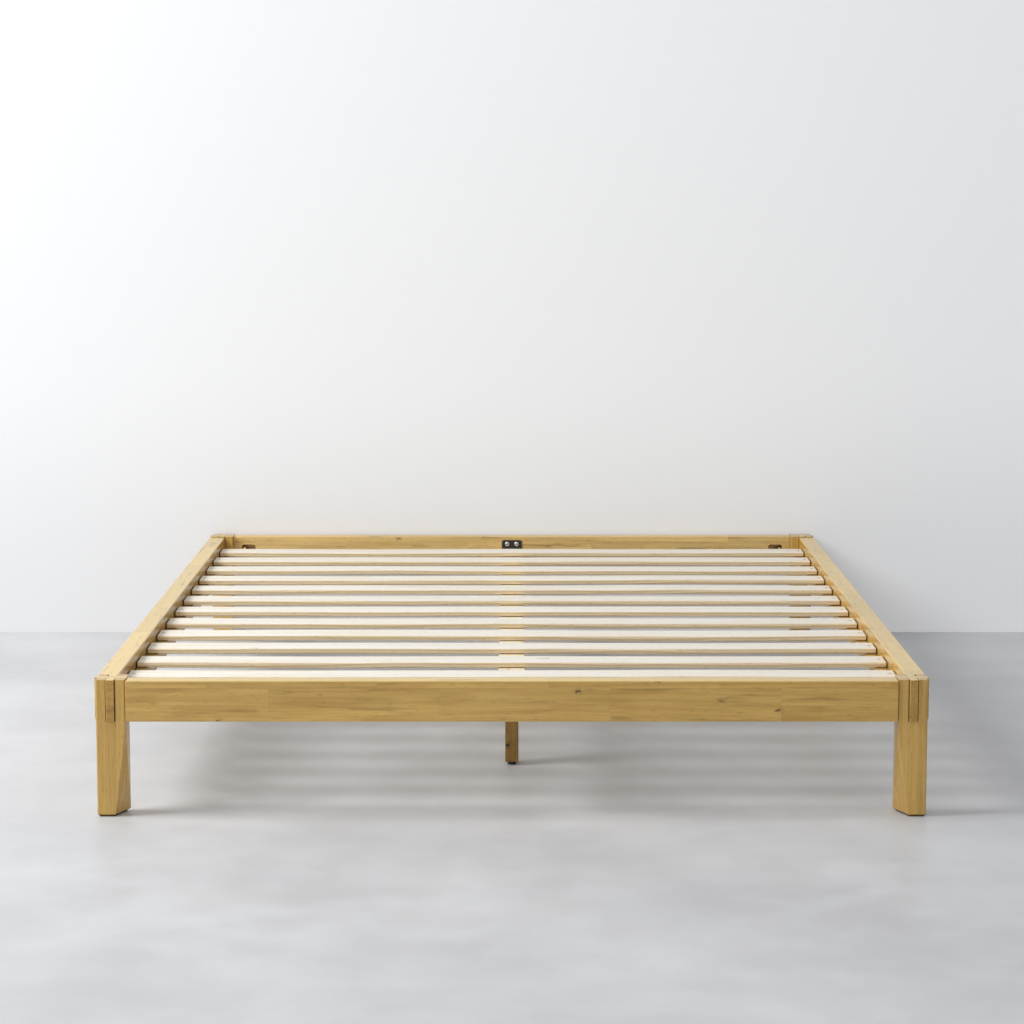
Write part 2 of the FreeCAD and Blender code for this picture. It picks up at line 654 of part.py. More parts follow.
def foot_stem(middle):
    """The steel stem of a screw foot."""
    start = Vector(0, middle, FOOT_BASE_HEIGHT - FOOT_STEM_ROOT)
    return rod(start, ALONG["z"], FOOT_STEM_RADIUS, FOOT_STEM_LENGTH)


# ---- corner bolts ----------------------------------------------------------------------------
def corner_insert_length():
    """How deep the bolt's insert sits in the leg, short of the slot."""
    return LEG_SIZE - slot_high - CORNER_INSERT_WALL


def pocket_start():
    """The place, from the leg's outer side face, where the pocket begins."""
    return LEG_SIZE + POCKET_FROM_LEG - POCKET_WIDTH / 2


def corner_insert():
    """The threaded insert in the leg that the corner bolt screws into."""
    length = corner_insert_length()
    start = corner_point(LEG_SIZE - length, BOLT_SETBACK, pocket_z)
    sleeve = rod(start, ALONG["x"], CORNER_INSERT_RADIUS, length)
    return sleeve.cut(rod(start, ALONG["x"], BOLT_RADIUS + THREAD_PLAY, length))


def corner_bolt():
    """The stud from the insert through the rail's end, past the nut in the pocket."""
    start = LEG_SIZE - corner_insert_length()
    end = pocket_start() + WASHER_THICKNESS + NUT_LENGTH + BOLT_PAST_NUT
    return rod(corner_point(start, BOLT_SETBACK, pocket_z), ALONG["x"], BOLT_RADIUS, end - start)


def corner_washer():
    """The round washer between the pocket's end and the nut."""
    place = corner_point(pocket_start(), BOLT_SETBACK, pocket_z)
    washer = rod(place, ALONG["x"], WASHER_RADIUS, WASHER_THICKNESS)
    return washer.cut(rod(place, ALONG["x"], BOLT_RADIUS + BOLT_HOLE_PLAY, WASHER_THICKNESS))


def corner_nut():
    """The hexagon nut of a corner bolt, against its washer."""
    place = corner_point(pocket_start() + WASHER_THICKNESS, BOLT_SETBACK, pocket_z)
    nut = hexagon_prism(place, ALONG["x"], NUT_FLATS, NUT_LENGTH)
    return nut.cut(rod(place, ALONG["x"], BOLT_RADIUS + THREAD_PLAY, NUT_LENGTH))


# ---- making every node -----------------------------------------------------------------------
def make_legs():
    """The corner legs and their pads."""
    for corner, shape in at_corners(corner_leg()).items():
        export("leg_" + corner, [shape])
    for corner, shape in at_corners(leg_pad()).items():
        export("leg_pad_" + corner, [shape])


def make_rails():
    """The four rails."""
    front = end_rail()
    left = side_rail()
    export("front_rail", [front])
    export("back_rail", [mirrored(front, False, True)])
    export("left_rail", [left])
    export("right_rail", [mirrored(left, True, False)])


def make_slats():
    """The ledgers, the slats and their screws."""
    left = ledger()
    export("left_ledger", [left])
    export("right_ledger", [mirrored(left, True, False)])
    for number, middle in enumerate(slat_middles(), start=1):
        export("slat_%02d" % number, [slat(middle)])
    slat_screws = []
    for place in slat_screw_places():
        screw = countersunk_screw(place, Vector(0, 0, -1), SLAT_SCREW_LENGTH)
        slat_screws += [screw, mirrored(screw, True, False)]
    export("slat_screws", slat_screws)
    ledger_screws = []
    for place in ledger_screw_places():
        screw = countersunk_screw(place, Vector(-1, 0, 0), LEDGER_SCREW_LENGTH)
        ledger_screws += [screw, mirrored(screw, True, False)]
    export("ledger_screws", ledger_screws)


def make_centre():
    """The centre beam, its brackets and screws, and the centre legs with their screw feet."""
    export("centre_beam", [centre_beam()])
    bracket = beam_bracket()
    export("front_beam_bracket", [bracket])
    export("back_beam_bracket", [mirrored(bracket, False, True)])
    rail_screws = [socket_screw(place, Vector(0, -1, 0), BRACKET_SCREW_RADIUS,
                                BRACKET_SCREW_LENGTH, BRACKET_HEAD_RADIUS, BRACKET_HEAD_HEIGHT)
                   for place in bracket_screw_places()]
    export("bracket_screws", rail_screws + [mirrored(screw, False, True) for screw in rail_screws])
    shelf_screws = beam_screws()
    export("beam_screws", shelf_screws + [mirrored(screw, False, True) for screw in shelf_screws])
    middles = centre_leg_middles()
    for number, middle in enumerate(middles, start=1):
        export("centre_leg_%d" % number, [centre_leg(middle)])
        export("foot_base_%d" % number, [foot_base(middle)])
        export("foot_stem_%d" % number, [foot_stem(middle)])
    export("centre_leg_studs", [leg_stud(middle) for middle in middles])
    export("foot_inserts", [foot_insert(middle) for middle in middles])


def make_corner_hardware():
    """The bolts, inserts, washers and nuts at the four corners."""
    for node, shape in (("corner_inserts", corner_insert()), ("corner_bolts", corner_bolt()),
                        ("corner_washers", corner_washer()), ("corner_nuts", corner_nut())):
        export(node, list(at_corners(shape).values()))


os.makedirs("parts", exist_ok=True)
make_legs()
make_rails()
make_slats()
make_centre()
make_corner_hardware()
print("leg faces %.0f x %.0f, overall height %.0f" % (2 * half_width, 2 * half_length, leg_top))
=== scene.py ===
"""Low slatted platform bed frame in solid wood, dressed for a pale studio.

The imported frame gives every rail, leg, pad and bracket at its real size and place. This script
gives them their finishes, and replaces the slats, the visible screws, the nuts, the threaded rods
and the screw feet with finer meshes that fit the same places. All lengths are in metres, in the
frame's own axes: X across the bed, Y from the foot end to the head end, Z up from the floor.
"""
import logging
import math
from dataclasses import dataclass, field, replace
from enum import Enum
from functools import cached_property

import bpy
import numpy as np
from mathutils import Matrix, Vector


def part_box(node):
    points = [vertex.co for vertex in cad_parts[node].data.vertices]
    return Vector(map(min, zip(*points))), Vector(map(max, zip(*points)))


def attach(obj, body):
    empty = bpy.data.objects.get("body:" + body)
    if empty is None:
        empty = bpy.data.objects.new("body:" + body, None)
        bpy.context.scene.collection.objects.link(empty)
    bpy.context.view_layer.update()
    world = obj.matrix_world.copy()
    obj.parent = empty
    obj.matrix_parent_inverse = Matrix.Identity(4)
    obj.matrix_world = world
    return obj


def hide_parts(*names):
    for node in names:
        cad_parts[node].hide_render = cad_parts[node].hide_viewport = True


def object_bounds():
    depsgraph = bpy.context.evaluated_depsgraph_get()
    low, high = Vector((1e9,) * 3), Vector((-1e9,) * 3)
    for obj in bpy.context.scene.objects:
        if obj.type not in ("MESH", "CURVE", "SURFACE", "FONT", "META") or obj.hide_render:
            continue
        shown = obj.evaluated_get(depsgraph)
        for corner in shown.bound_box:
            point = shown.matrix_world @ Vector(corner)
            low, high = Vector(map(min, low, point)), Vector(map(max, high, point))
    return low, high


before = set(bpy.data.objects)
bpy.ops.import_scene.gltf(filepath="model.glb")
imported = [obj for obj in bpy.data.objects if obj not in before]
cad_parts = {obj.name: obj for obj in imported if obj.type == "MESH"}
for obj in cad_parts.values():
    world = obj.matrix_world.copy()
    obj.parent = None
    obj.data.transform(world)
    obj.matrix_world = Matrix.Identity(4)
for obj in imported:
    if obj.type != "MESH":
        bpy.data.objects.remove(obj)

CAD_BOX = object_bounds()
LOG = logging.getLogger("bed")

Socket = bpy.types.NodeSocket
Feed = Socket | float | tuple[float, ...] | None
Colour = tuple[float, float, float, float]
Triple = tuple[float, float, float]
Pair = tuple[float, float]
Span = tuple[float, float]

MM = 0.001
SAME_PLACE = 0.1 * MM
SORT_DIGITS = 4
QUARTER_TURN = math.pi / 2.0
FULL_TURN = 2.0 * math.pi
ACROSS = Vector((1.0, 0.0, 0.0))
UP = Vector((0.0, 0.0, 1.0))

# The curve between a picture's tones and linear light.
TONE_KNEE = 0.04045
TONE_SLOPE = 12.92
TONE_OFFSET = 0.055
TONE_POWER = 2.4


def tone(red: int, green: int, blue: int) -> Colour:
    """A colour as a picture shows it, from 0 to 255, as the linear colour that shaders take.

    Args:
        red: Red part.
        green: Green part.
        blue: Blue part.

    Returns:
        The linear colour with an alpha of 1.
    """
    parts = np.array([red, green, blue]) / 255.0
    curve = ((parts + TONE_OFFSET) / (1.0 + TONE_OFFSET)) ** TONE_POWER
    linear = np.where(parts <= TONE_KNEE, parts / TONE_SLOPE, curve)
    return (float(linear[0]), float(linear[1]), float(linear[2]), 1.0)


# ---- shader trees ----------------------------------------------------------------------------
class Graph:
    """Adds nodes to one shader tree and links them."""

    # Where a colour Mix node has its two colours and its result.
    MIX_FIRST, MIX_SECOND, MIX_RESULT = 6, 7, 2
    # Rays for each point of the painted shade in corners and narrow joints.
    PAINTED_SHADE_SAMPLES = 4

    def __init__(self, tree: bpy.types.NodeTree) -> None:
        """Keep the tree that the nodes go into."""
        self.tree = tree

    def node(self, kind: str, **settings: object) -> bpy.types.Node:
        """Add a node.

        Args:
            kind: The node's type, without its "ShaderNode" prefix.
            **settings: Properties to set on the node.

        Returns:
            The new node.
        """
        made = self.tree.nodes.new("ShaderNode" + kind)
        for name, value in settings.items():
            setattr(made, name, value)
        return made

    def find(self, kind: str) -> bpy.types.Node:
        """The tree's first node of a type."""
        return next(node for node in self.tree.nodes if node.type == kind)

    def feed(self, socket: Socket, value: Feed) -> None:
        """Link a socket to its source, or set its value.

        Args:
            socket: The input socket.
            value: An output socket, a constant, or None to leave the socket as it is.
        """
        if isinstance(value, bpy.types.NodeSocket):
            self.tree.links.new(value, socket)
        elif value is not None:
            socket.default_value = value

    def fill(self, node: bpy.types.Node, **values: Feed) -> bpy.types.Node:
        """Feed a node's inputs by name.

        Args:
            node: The node.
            **values: A value for each input, where "_" stands for a space in its name.

        Returns:
            The same node.
        """
        for name, value in values.items():
            self.feed(node.inputs[name.replace("_", " ")], value)
        return node

    def math(self, operation: str, *values: Feed, clamp: bool = False) -> Socket:
        """Work out one number from up to three others.

        Args:
            operation: What to do with them.
            *values: The numbers.
            clamp: Whether the result is kept from 0 to 1.

        Returns:
            The result.
        """
        made = self.node("Math", operation=operation, use_clamp=clamp)
        for socket, value in zip(made.inputs, values):
            self.feed(socket, value)
        return made.outputs[0]

    def vector(self, operation: str, first: Feed, second: Feed) -> Socket:
        """Work out one vector from two others.

        Args:
            operation: What to do with them.
            first: The first vector.
            second: The second vector.

        Returns:
            The result.
        """
        made = self.node("VectorMath", operation=operation)
        self.feed(made.inputs[0], first)
        self.feed(made.inputs[1], second)
        return made.outputs[0]

    def length(self, vector: Feed) -> Socket:
        """Measure a vector.

        Args:
            vector: The vector.

        Returns:
            Its length.
        """
        made = self.node("VectorMath", operation="LENGTH")
        self.feed(made.inputs[0], vector)
        return made.outputs["Value"]

    def scale(self, vector: Feed, factor: Feed) -> Socket:
        """Multiply a vector or colour by a number.

        Args:
            vector: The vector or colour.
            factor: The number.

        Returns:
            The product.
        """
        made = self.node("VectorMath", operation="SCALE")
        self.feed(made.inputs[0], vector)
        return self.fill(made, Scale=factor).outputs[0]

    def step(self, value: Feed, low: float, high: float, start: float = 0.0,
             end: float = 1.0) -> Socket:
        """Rise smoothly from one number to another.

        Args:
            value: What the rise follows.
            low: Where the rise starts.
            high: Where it ends.
            start: The result up to there.
            end: The result from there on.

        Returns:
            The result.
        """
        made = self.node("MapRange", interpolation_type="SMOOTHSTEP")
        for socket, given in zip(made.inputs, (value, low, high, start, end)):
            self.feed(socket, given)
        return made.outputs[0]

    def painted_shade(self, width: float, low: float, high: float, share: float) -> Socket:
        """Painted shade: a level that falls from 1 in corners, sockets and narrow joints.

        Args:
            width: How far off other faces still count.
            low: The openness at which the level has fallen in full.
            high: The openness from which on it is 1.
            share: How far it falls.

        Returns:
            The level.
        """
        made = self.fill(self.node("AmbientOcclusion", samples=self.PAINTED_SHADE_SAMPLES),
                         Distance=width)
        return self.step(made.outputs["AO"], low, high, 1.0 - share, 1.0)

    def noise(self, place: Feed, stretch: Feed = None, scale: float = 1.0, detail: float = 2.0,
              roughness: float = 0.5) -> bpy.types.Node:
        """Add a noise texture.

        Args:
            place: The place that it reads.
            stretch: Factors for the place along each axis, or none.
            scale: How many times the pattern fits into a metre.
            detail: How many finer patterns are laid over it.
            roughness: How strong they are.

        Returns:
            The node.
        """
        if stretch is not None:
            place = self.vector("MULTIPLY", place, stretch)
        return self.fill(self.node("TexNoise"), Vector=place, Scale=scale, Detail=detail,
                         Roughness=roughness)

    def mix(self, share: Feed, first: Feed, second: Feed) -> Socket:
        """Mix two colours.

        Args:
            share: The second colour's share, from 0 to 1.
            first: The first colour.
            second: The second colour.

        Returns:
            The mixed colour.
        """
        made = self.node("Mix", data_type="RGBA", blend_type="MIX", clamp_factor=True)
        self.feed(made.inputs["Factor"], share)
        self.feed(made.inputs[self.MIX_FIRST], first)
        self.feed(made.inputs[self.MIX_SECOND], second)
        return made.outputs[self.MIX_RESULT]

    def split(self, vector: Feed) -> list[Socket]:
        """Take a vector apart.

        Args:
            vector: The vector.

        Returns:
            Its X, Y and Z parts.
        """
        made = self.node("SeparateXYZ")
        self.feed(made.inputs[0], vector)
        return list(made.outputs)

    def join(self, *parts: Feed) -> Socket:
        """Make a vector.

        Args:
            *parts: Its X, Y and Z parts.

        Returns:
            The vector.
        """
        made = self.node("CombineXYZ")
        for socket, value in zip(made.inputs, parts):
            self.feed(socket, value)
        return made.outputs[0]

    def use(self, group: bpy.types.NodeTree, **values: Feed) -> bpy.types.Node:
        """Place a shared group and feed its inputs, where "_" stands for a space in a name."""
        return self.fill(self.node("Group", node_tree=group), **values)


@dataclass
class GroupBuilder:
    """Makes the shader groups that several finishes share, each only once.

    A span gives the two values between which a mask rises or falls.
    """

    stave_shift: Triple = (5.0, 60.0 * MM, 60.0 * MM)
    joint_width: float = 0.5 * MM
    knot_ripple: float = 160.0
    knot_wobble: Triple = (0.16, 0.16, 0.16)
    knot_core: Span = (0.55, 1.0)
    knot_halo: Span = (0.6, 3.2)
    knot_push: float = 4.0 * MM
    slow_stretch: Triple = (2.2, 9.0, 9.0)
    pith_offset: Triple = (0.0, 0.0, 35.0 * MM)
    ring_rise: Span = (0.10, 0.86)
    ring_fall: Span = (0.88, 1.0)
    mark_roughness: float = 0.6
    end_span: Span = (0.72, 0.92)
    edge_span: Span = (0.30, 0.95)
    pore_stretch: Triple = (300.0, 1500.0, 1500.0)
    pore_span: Span = (0.52, 0.66)
    cloud_detail: float = 4.0
    cloud_roughness: float = 0.55
    cloud_span: Span = (0.30, 0.70)
    speck_roughness: float = 0.6
    speck_span: Span = (0.35, 0.65)
    # For each kind of mark in the grain: its name, its stretch, its detail and its span.
    marks: tuple[tuple[str, Triple, float, Span], ...] = (
        ("Streaks", (3.5, 120.0, 120.0), 4.0, (0.34, 0.66)),
        ("Fibres", (30.0, 900.0, 900.0), 2.0, (0.30, 0.70)),
        ("Flecks", (55.0, 420.0, 420.0), 1.0, (0.64, 0.74)),
        ("Patches", (6.0, 70.0, 70.0), 3.0, (0.57, 0.74)))

    def start(self, name: str, inputs: dict[str, str],
              outputs: dict[str, str]) -> tuple[Graph, dict[str, Socket], dict[str, Socket]]:
        """Open a new group.

        Args:
            name: The group's name.
            inputs: The kind of each input socket ("Float", "Vector" or "Color"), by name.
            outputs: The kind of each output socket, by name.

        Returns:
            The graph to build in, the sockets to read from and the sockets to feed.
        """
        tree = bpy.data.node_groups.new(name, "ShaderNodeTree")
        for way, sockets in (("INPUT", inputs), ("OUTPUT", outputs)):
            for label, kind in sockets.items():
                tree.interface.new_socket(label, in_out=way, socket_type="NodeSocket" + kind)
        source = tree.nodes.new("NodeGroupInput")
        sink = tree.nodes.new("NodeGroupOutput")
        return (Graph(tree), {label: source.outputs[label] for label in inputs},
                {label: sink.inputs[label] for label in outputs})

    @cached_property
    def staves(self) -> bpy.types.NodeTree:
        """Boards glued up from staves, each with its own tint and its own piece of grain.

        A stave is the cell that a place falls in. Rows lie side by side along Y, and each is cut
        into runs along X that start at a random place. Each cell moves the grain by a random
        amount.

        Returns:
            The group.
        """
        graph, given, out = self.start(
            "Glued staves",
            {"Place": "Vector", "Seed": "Float", "Row Height": "Float", "Row Start": "Float",
             "Run Length": "Float"},
            {"Place": "Vector", "Tint": "Float", "Joint": "Float"})
        x, y, z = graph.split(given["Place"])
        from_start = graph.math("SUBTRACT", y, given["Row Start"])
        rows = graph.math("DIVIDE", from_start, given["Row Height"])
        row = graph.math("FLOOR", rows)
        row_noise = graph.fill(graph.node("TexWhiteNoise", noise_dimensions="2D"),
                               Vector=graph.join(row, given["Seed"], 0.0))
        runs = graph.math("ADD", graph.math("DIVIDE", x, given["Run Length"]),
                          row_noise.outputs["Value"])
        run = graph.math("FLOOR", runs)
        cell = graph.fill(graph.node("TexWhiteNoise", noise_dimensions="3D"),
                          Vector=graph.join(row, run, given["Seed"]))
        shift = graph.vector("MULTIPLY", cell.outputs["Color"], self.stave_shift)
        middle = graph.math("MULTIPLY", graph.math("ADD", row, 0.5), given["Row Height"])
        local = graph.join(x, graph.math("SUBTRACT", from_start, middle), z)
        graph.feed(out["Place"], graph.vector("ADD", local, shift))
        graph.feed(out["Tint"], cell.outputs["Value"])
        row_edge, run_edge = (
            graph.math("MULTIPLY", graph.math("PINGPONG", count, 0.5), given[size])
            for count, size in ((rows, "Row Height"), (runs, "Run Length")))
        graph.feed(out["Joint"], graph.step(graph.math("MINIMUM", row_edge, run_edge),
                                            0.0, self.joint_width, 1.0, 0.0))
        return graph.tree

    @cached_property
    def knots(self) -> bpy.types.NodeTree:
        """Scattered knots that go through a board: a dark core, and a halo that grain flows round.

        Each cell of a stretched flat cell pattern, across the third axis, holds one place, and only
        some cells are picked.

        Returns:
            The group.
        """
        graph, given, out = self.start(
            "Knots",
            {"Place": "Vector", "Seed": "Float", "Spacing": "Float", "Stretch": "Float",
             "Size": "Float", "Amount": "Float"},
            {"Core": "Float", "Halo": "Float"})
        across = graph.math("DIVIDE", 1.0, given["Spacing"])
        along = graph.math("DIVIDE", across, given["Stretch"])
        scaled = graph.vector("MULTIPLY", given["Place"], graph.join(along, across, across))
        ripple = graph.noise(given["Place"], scale=self.knot_ripple, detail=1.0)
        wobble = graph.vector("MULTIPLY", ripple.outputs["Color"], self.knot_wobble)
        seeds = graph.join(given["Seed"], given["Seed"], given["Seed"])
        moved = graph.vector("ADD", graph.vector("ADD", scaled, wobble), seeds)
        cells = graph.fill(graph.node("TexVoronoi", voronoi_dimensions="2D"), Vector=moved,
                           Scale=1.0)
        distance = graph.math("DIVIDE", cells.outputs["Distance"], given["Size"])
        chance = graph.split(cells.outputs["Color"])[0]
        picked = graph.math("LESS_THAN", chance, given["Amount"])
        for label, span in (("Core", self.knot_core), ("Halo", self.knot_halo)):
            fall = graph.step(distance, *span, 1.0, 0.0)
            graph.feed(out[label], graph.math("MULTIPLY", picked, fall))
        return graph.tree

    @cached_property
    def grain(self) -> bpy.types.NodeTree:
        """Solid grain along X: growth rings, streaks, fibres, short flecks and mineral patches.

        The rings are the rising part of the distance from a pith line, bent by slow noise and
        pushed aside by knots. All else is noise drawn out along X.

        Returns:
            The group.
        """
        graph, given, out = self.start(
            "Solid grain",
            {"Place": "Vector", "Halo": "Float", "Ring Width": "Float", "Waviness": "Float"},
            {"Rings": "Float", **{mark[0]: "Float" for mark in self.marks}})
        slow = graph.noise(given["Place"], self.slow_stretch)
        bend = graph.vector("SUBTRACT", slow.outputs["Color"], (0.5, 0.5, 0.5))
        wave = graph.join(0.0, given["Waviness"], given["Waviness"])
        moved = graph.vector("ADD", given["Place"], graph.vector("MULTIPLY", bend, wave))
        x, y, z = graph.split(moved)
        moved = graph.join(x, graph.math("MULTIPLY_ADD", given["Halo"], self.knot_push, y), z)
        from_pith = graph.vector("ADD", moved, self.pith_offset)
        pith = graph.length(graph.vector("MULTIPLY", from_pith, (0.0, 1.0, 1.0)))
        turn = graph.math("FRACT", graph.math("DIVIDE", pith, given["Ring Width"]))
        rise = graph.step(turn, *self.ring_rise)
        fall = graph.step(turn, *self.ring_fall, 1.0, 0.0)
        graph.feed(out["Rings"], graph.math("MULTIPLY", rise, fall))
        for label, stretch, detail, span in self.marks:
            drawn = graph.noise(moved, stretch, detail=detail, roughness=self.mark_roughness)
            graph.feed(out[label], graph.step(drawn.outputs[0], *span))
        return graph.tree

    @cached_property
    def cuts(self) -> bpy.types.NodeTree:
        """How a surface lies to the grain, and the pores that show on the end grain.

        It is sawn across the grain where it faces along X, and is an edge where it faces along Y.

        Returns:
            The group.
        """
        graph, given, out = self.start("Cuts", {"Facing": "Vector", "Place": "Vector"},
                                       {"End": "Float", "Edge": "Float", "Pores": "Float"})
        x, y, _ = graph.split(given["Facing"])
        graph.feed(out["End"], graph.step(graph.math("ABSOLUTE", x), *self.end_span))
        graph.feed(out["Edge"], graph.step(graph.math("ABSOLUTE", y), *self.edge_span))
        pores = graph.noise(given["Place"], self.pore_stretch, detail=1.0)
        graph.feed(out["Pores"], graph.step(pores.outputs[0], *self.pore_span))
        return graph.tree

    @cached_property
    def mottle(self) -> bpy.types.NodeTree:
        """Cloudy variation at two scales, as on plated metal, moulded plastic or concrete.

        Returns:
            The group.
        """
        graph, given, out = self.start("Mottle",
                                       {"Place": "Vector", "Coarse": "Float", "Fine": "Float"},
                                       {"Clouds": "Float", "Specks": "Float"})
        coarse = graph.noise(graph.scale(given["Place"], given["Coarse"]),
                             detail=self.cloud_detail, roughness=self.cloud_roughness)
        fine = graph.noise(graph.scale(given["Place"], given["Fine"]),
                           roughness=self.speck_roughness)
        graph.feed(out["Clouds"], graph.step(coarse.outputs[0], *self.cloud_span))
        graph.feed(out["Specks"], graph.step(fine.outputs[0], *self.speck_span))
        return graph.tree


GROUPS = GroupBuilder()


def new_material(name: str) -> tuple[bpy.types.Material, Graph, bpy.types.Node]:
    """An empty material with one main shader.

    Args:
        name: The material's name.

    Returns:
        The material, its graph and its main shader node.
    """
    material = bpy.data.materials.new(name)
    material.use_nodes = True
    graph = Graph(material.node_tree)
    return material, graph, graph.find("BSDF_PRINCIPLED")


def add_bump(graph: Graph, shader: bpy.types.Node, height: Socket, strength: float,
             depth: float) -> None:
    """Give a shader its fine relief, where depth is what a height of 1 stands for."""
    bump = graph.fill(graph.node("Bump"), Strength=strength, Distance=depth, Height=height)
    graph.feed(shader.inputs["Normal"], bump.outputs[0])


class Run(Enum):
    """Which way a board's grain runs, and across which axis its staves are stacked.

    Each value gives the axes that take the places of X, Y and Z in the grain.
    """

    ACROSS_FLAT = (0, 1, 2)
    ACROSS_UPRIGHT = (0, 2, 1)
    LENGTHWAYS = (1, 2, 0)
    LENGTHWAYS_FLAT = (1, 0, 2)
    UPRIGHT = (2, 0, 1)


@dataclass(frozen=True)
class WoodFinish:
    """A wood, its lacquer and the way its boards are glued up.

    A share says how strongly a kind of mark shows, from 0 to 1. The knots' seed is the board's own
    seed times knot_factor.
    """

    name: str
    light: Colour
    deep: Colour
    streak: Colour
    knot: Colour
    # Edge tone, on faces along the grain's second axis: a painted sheen on rail tops, painted shade
    # on slat fronts.
    edge: Colour
    ring_width: float = 3.5 * MM
    ring_share: float = 0.22
    streak_share: float = 0.40
    fibre_share: float = 0.20
    fleck_share: float = 0.25
    patch_share: float = 0.35
    halo_share: float = 0.30
    joint_share: float = 0.20
    pore_share: float = 0.40
    core_share: float = 0.85
    waviness: float = 15.0 * MM
    knot_factor: float = 1.37
    knot_spacing: float = 0.10
    knot_stretch: float = 2.0
    knot_size: float = 0.08
    knot_amount: float = 0.10
    row_height: float = 10.0
    row_start: float = -5.0
    run_length: float = 40.0
    stave_contrast: float = 0.05
    # Painted shade in corners and narrow joints: its reach, its depth and its openness span.
    painted_shade_width: float = 6.0 * MM
    painted_shade_share: float = 0.72
    painted_shade_span: Span = (0.15, 0.80)
    end_share: float = 0.50
    edge_share: float = 0.0
    edge_ring_share: float = 0.0
    roughness: float = 0.42
    fibre_roughness: float = 0.10
    end_roughness: float = 0.15
    specular: float = 0.5
    coat: float = 0.0
    coat_roughness: float = 0.28
    ring_relief: float = 0.3
    joint_relief: float = -0.4
    relief: float = 0.20
    relief_depth: float = 0.20 * MM

    def masks(self, graph: Graph, run: Run, seed: float) -> dict[str, Socket]:
        """Place the shared groups that the wood is made of.

        Args:
            graph: The material's graph.
            run: The way of the grain.
            seed: Moves the pattern, so that boards differ.

        Returns:
            The masks that they put out, by name. "Face" is 1 away from edges.
        """
        spot = graph.node("TexCoord")
        place, facing = (
            graph.join(*[parts[axis] for axis in run.value])
            for parts in (graph.split(spot.outputs["Object"]), graph.split(spot.outputs["Normal"])))
        stave = graph.use(GROUPS.staves, Place=place, Seed=seed, Row_Height=self.row_height,
                          Row_Start=self.row_start, Run_Length=self.run_length)
        knots = graph.use(GROUPS.knots, Place=place, Seed=seed * self.knot_factor,
                          Spacing=self.knot_spacing, Stretch=self.knot_stretch,
                          Size=self.knot_size, Amount=self.knot_amount)
        grain = graph.use(GROUPS.grain, Place=stave.outputs["Place"],
                          Halo=knots.outputs["Halo"], Ring_Width=self.ring_width,
                          Waviness=self.waviness)
        cuts = graph.use(GROUPS.cuts, Facing=facing, Place=place)
        masks = {socket.name: socket for node in (stave, knots, grain, cuts)
                 for socket in node.outputs}
        masks["Face"] = graph.math("SUBTRACT", 1.0, masks["Edge"])
        masks["Core"] = graph.math("MULTIPLY", masks["Core"], masks["Face"])
        return masks

    def colour(self, graph: Graph, masks: dict[str, Socket]) -> Socket:
        """Mix the wood's own tones by the grain, and lay its marks and painted light over them.

        Args:
            graph: The material's graph.
            masks: The masks, by name.

        Returns:
            The colour.
        """
        share = graph.math("MULTIPLY", masks["Rings"], self.ring_share)
        share = graph.math("MULTIPLY_ADD", masks["Streaks"], self.streak_share, share)
        share = graph.math("MULTIPLY_ADD", masks["Fibres"], self.fibre_share, share)
        share = graph.math("MULTIPLY_ADD", masks["End"], self.end_share, share, clamp=True)
        base = graph.mix(share, self.light, self.deep)
        bands = graph.math("MULTIPLY", masks["Edge"], masks["Rings"])
        halo = graph.math("MULTIPLY", masks["Halo"], masks["Face"])
        pores = graph.math("MULTIPLY", masks["Pores"], masks["End"])
        # The edge tone is painted light: a painted sheen on rail tops, painted shade on slat
        # fronts.
        for mask, weight, colour in ((masks["Edge"], self.edge_share, self.edge),
                                     (bands, self.edge_ring_share, self.streak),
                                     (masks["Patches"], self.patch_share, self.streak),
                                     (masks["Flecks"], self.fleck_share, self.streak),
                                     (halo, self.halo_share, self.streak),
                                     (masks["Joint"], self.joint_share, self.streak),
                                     (pores, self.pore_share, self.knot),
                                     (masks["Core"], self.core_share, self.knot)):
            base = graph.mix(graph.math("MULTIPLY", mask, weight), base, colour)
        level = graph.math("MULTIPLY_ADD", masks["Tint"], 2.0 * self.stave_contrast,
                           1.0 - self.stave_contrast)
        # Painted shade: the colour is darker in corners and narrow joints.
        painted_shade = graph.painted_shade(self.painted_shade_width, *self.painted_shade_span, self.painted_shade_share)
        return graph.scale(base, graph.math("MULTIPLY", level, painted_shade))

    def material(self, run: Run, seed: float) -> bpy.types.Material:
        """The finish on a board whose grain runs a given way.

        Args:
            run: The way of the grain.
            seed: Moves the pattern, so that boards differ.

        Returns:
            The new material.
        """
        material, graph, shader = new_material("%s %s %d" % (self.name, run.name.lower(), seed))
        masks = self.masks(graph, run, seed)
        rough = graph.math("MULTIPLY_ADD", masks["Fibres"], self.fibre_roughness, self.roughness)
        rough = graph.math("MULTIPLY_ADD", masks["End"], self.end_roughness, rough)
        graph.fill(shader, Base_Color=self.colour(graph, masks), Roughness=rough,
                   Specular_IOR_Level=self.specular, Coat_Weight=self.coat,
                   Coat_Roughness=self.coat_roughness)
        height = graph.math("MULTIPLY_ADD", masks["Rings"], self.ring_relief, masks["Fibres"])
        height = graph.math("SUBTRACT", height, masks["Core"])
        height = graph.math("MULTIPLY_ADD", masks["Joint"], self.joint_relief, height)
        add_bump(graph, shader, height, self.relief, self.relief_depth)
        return material


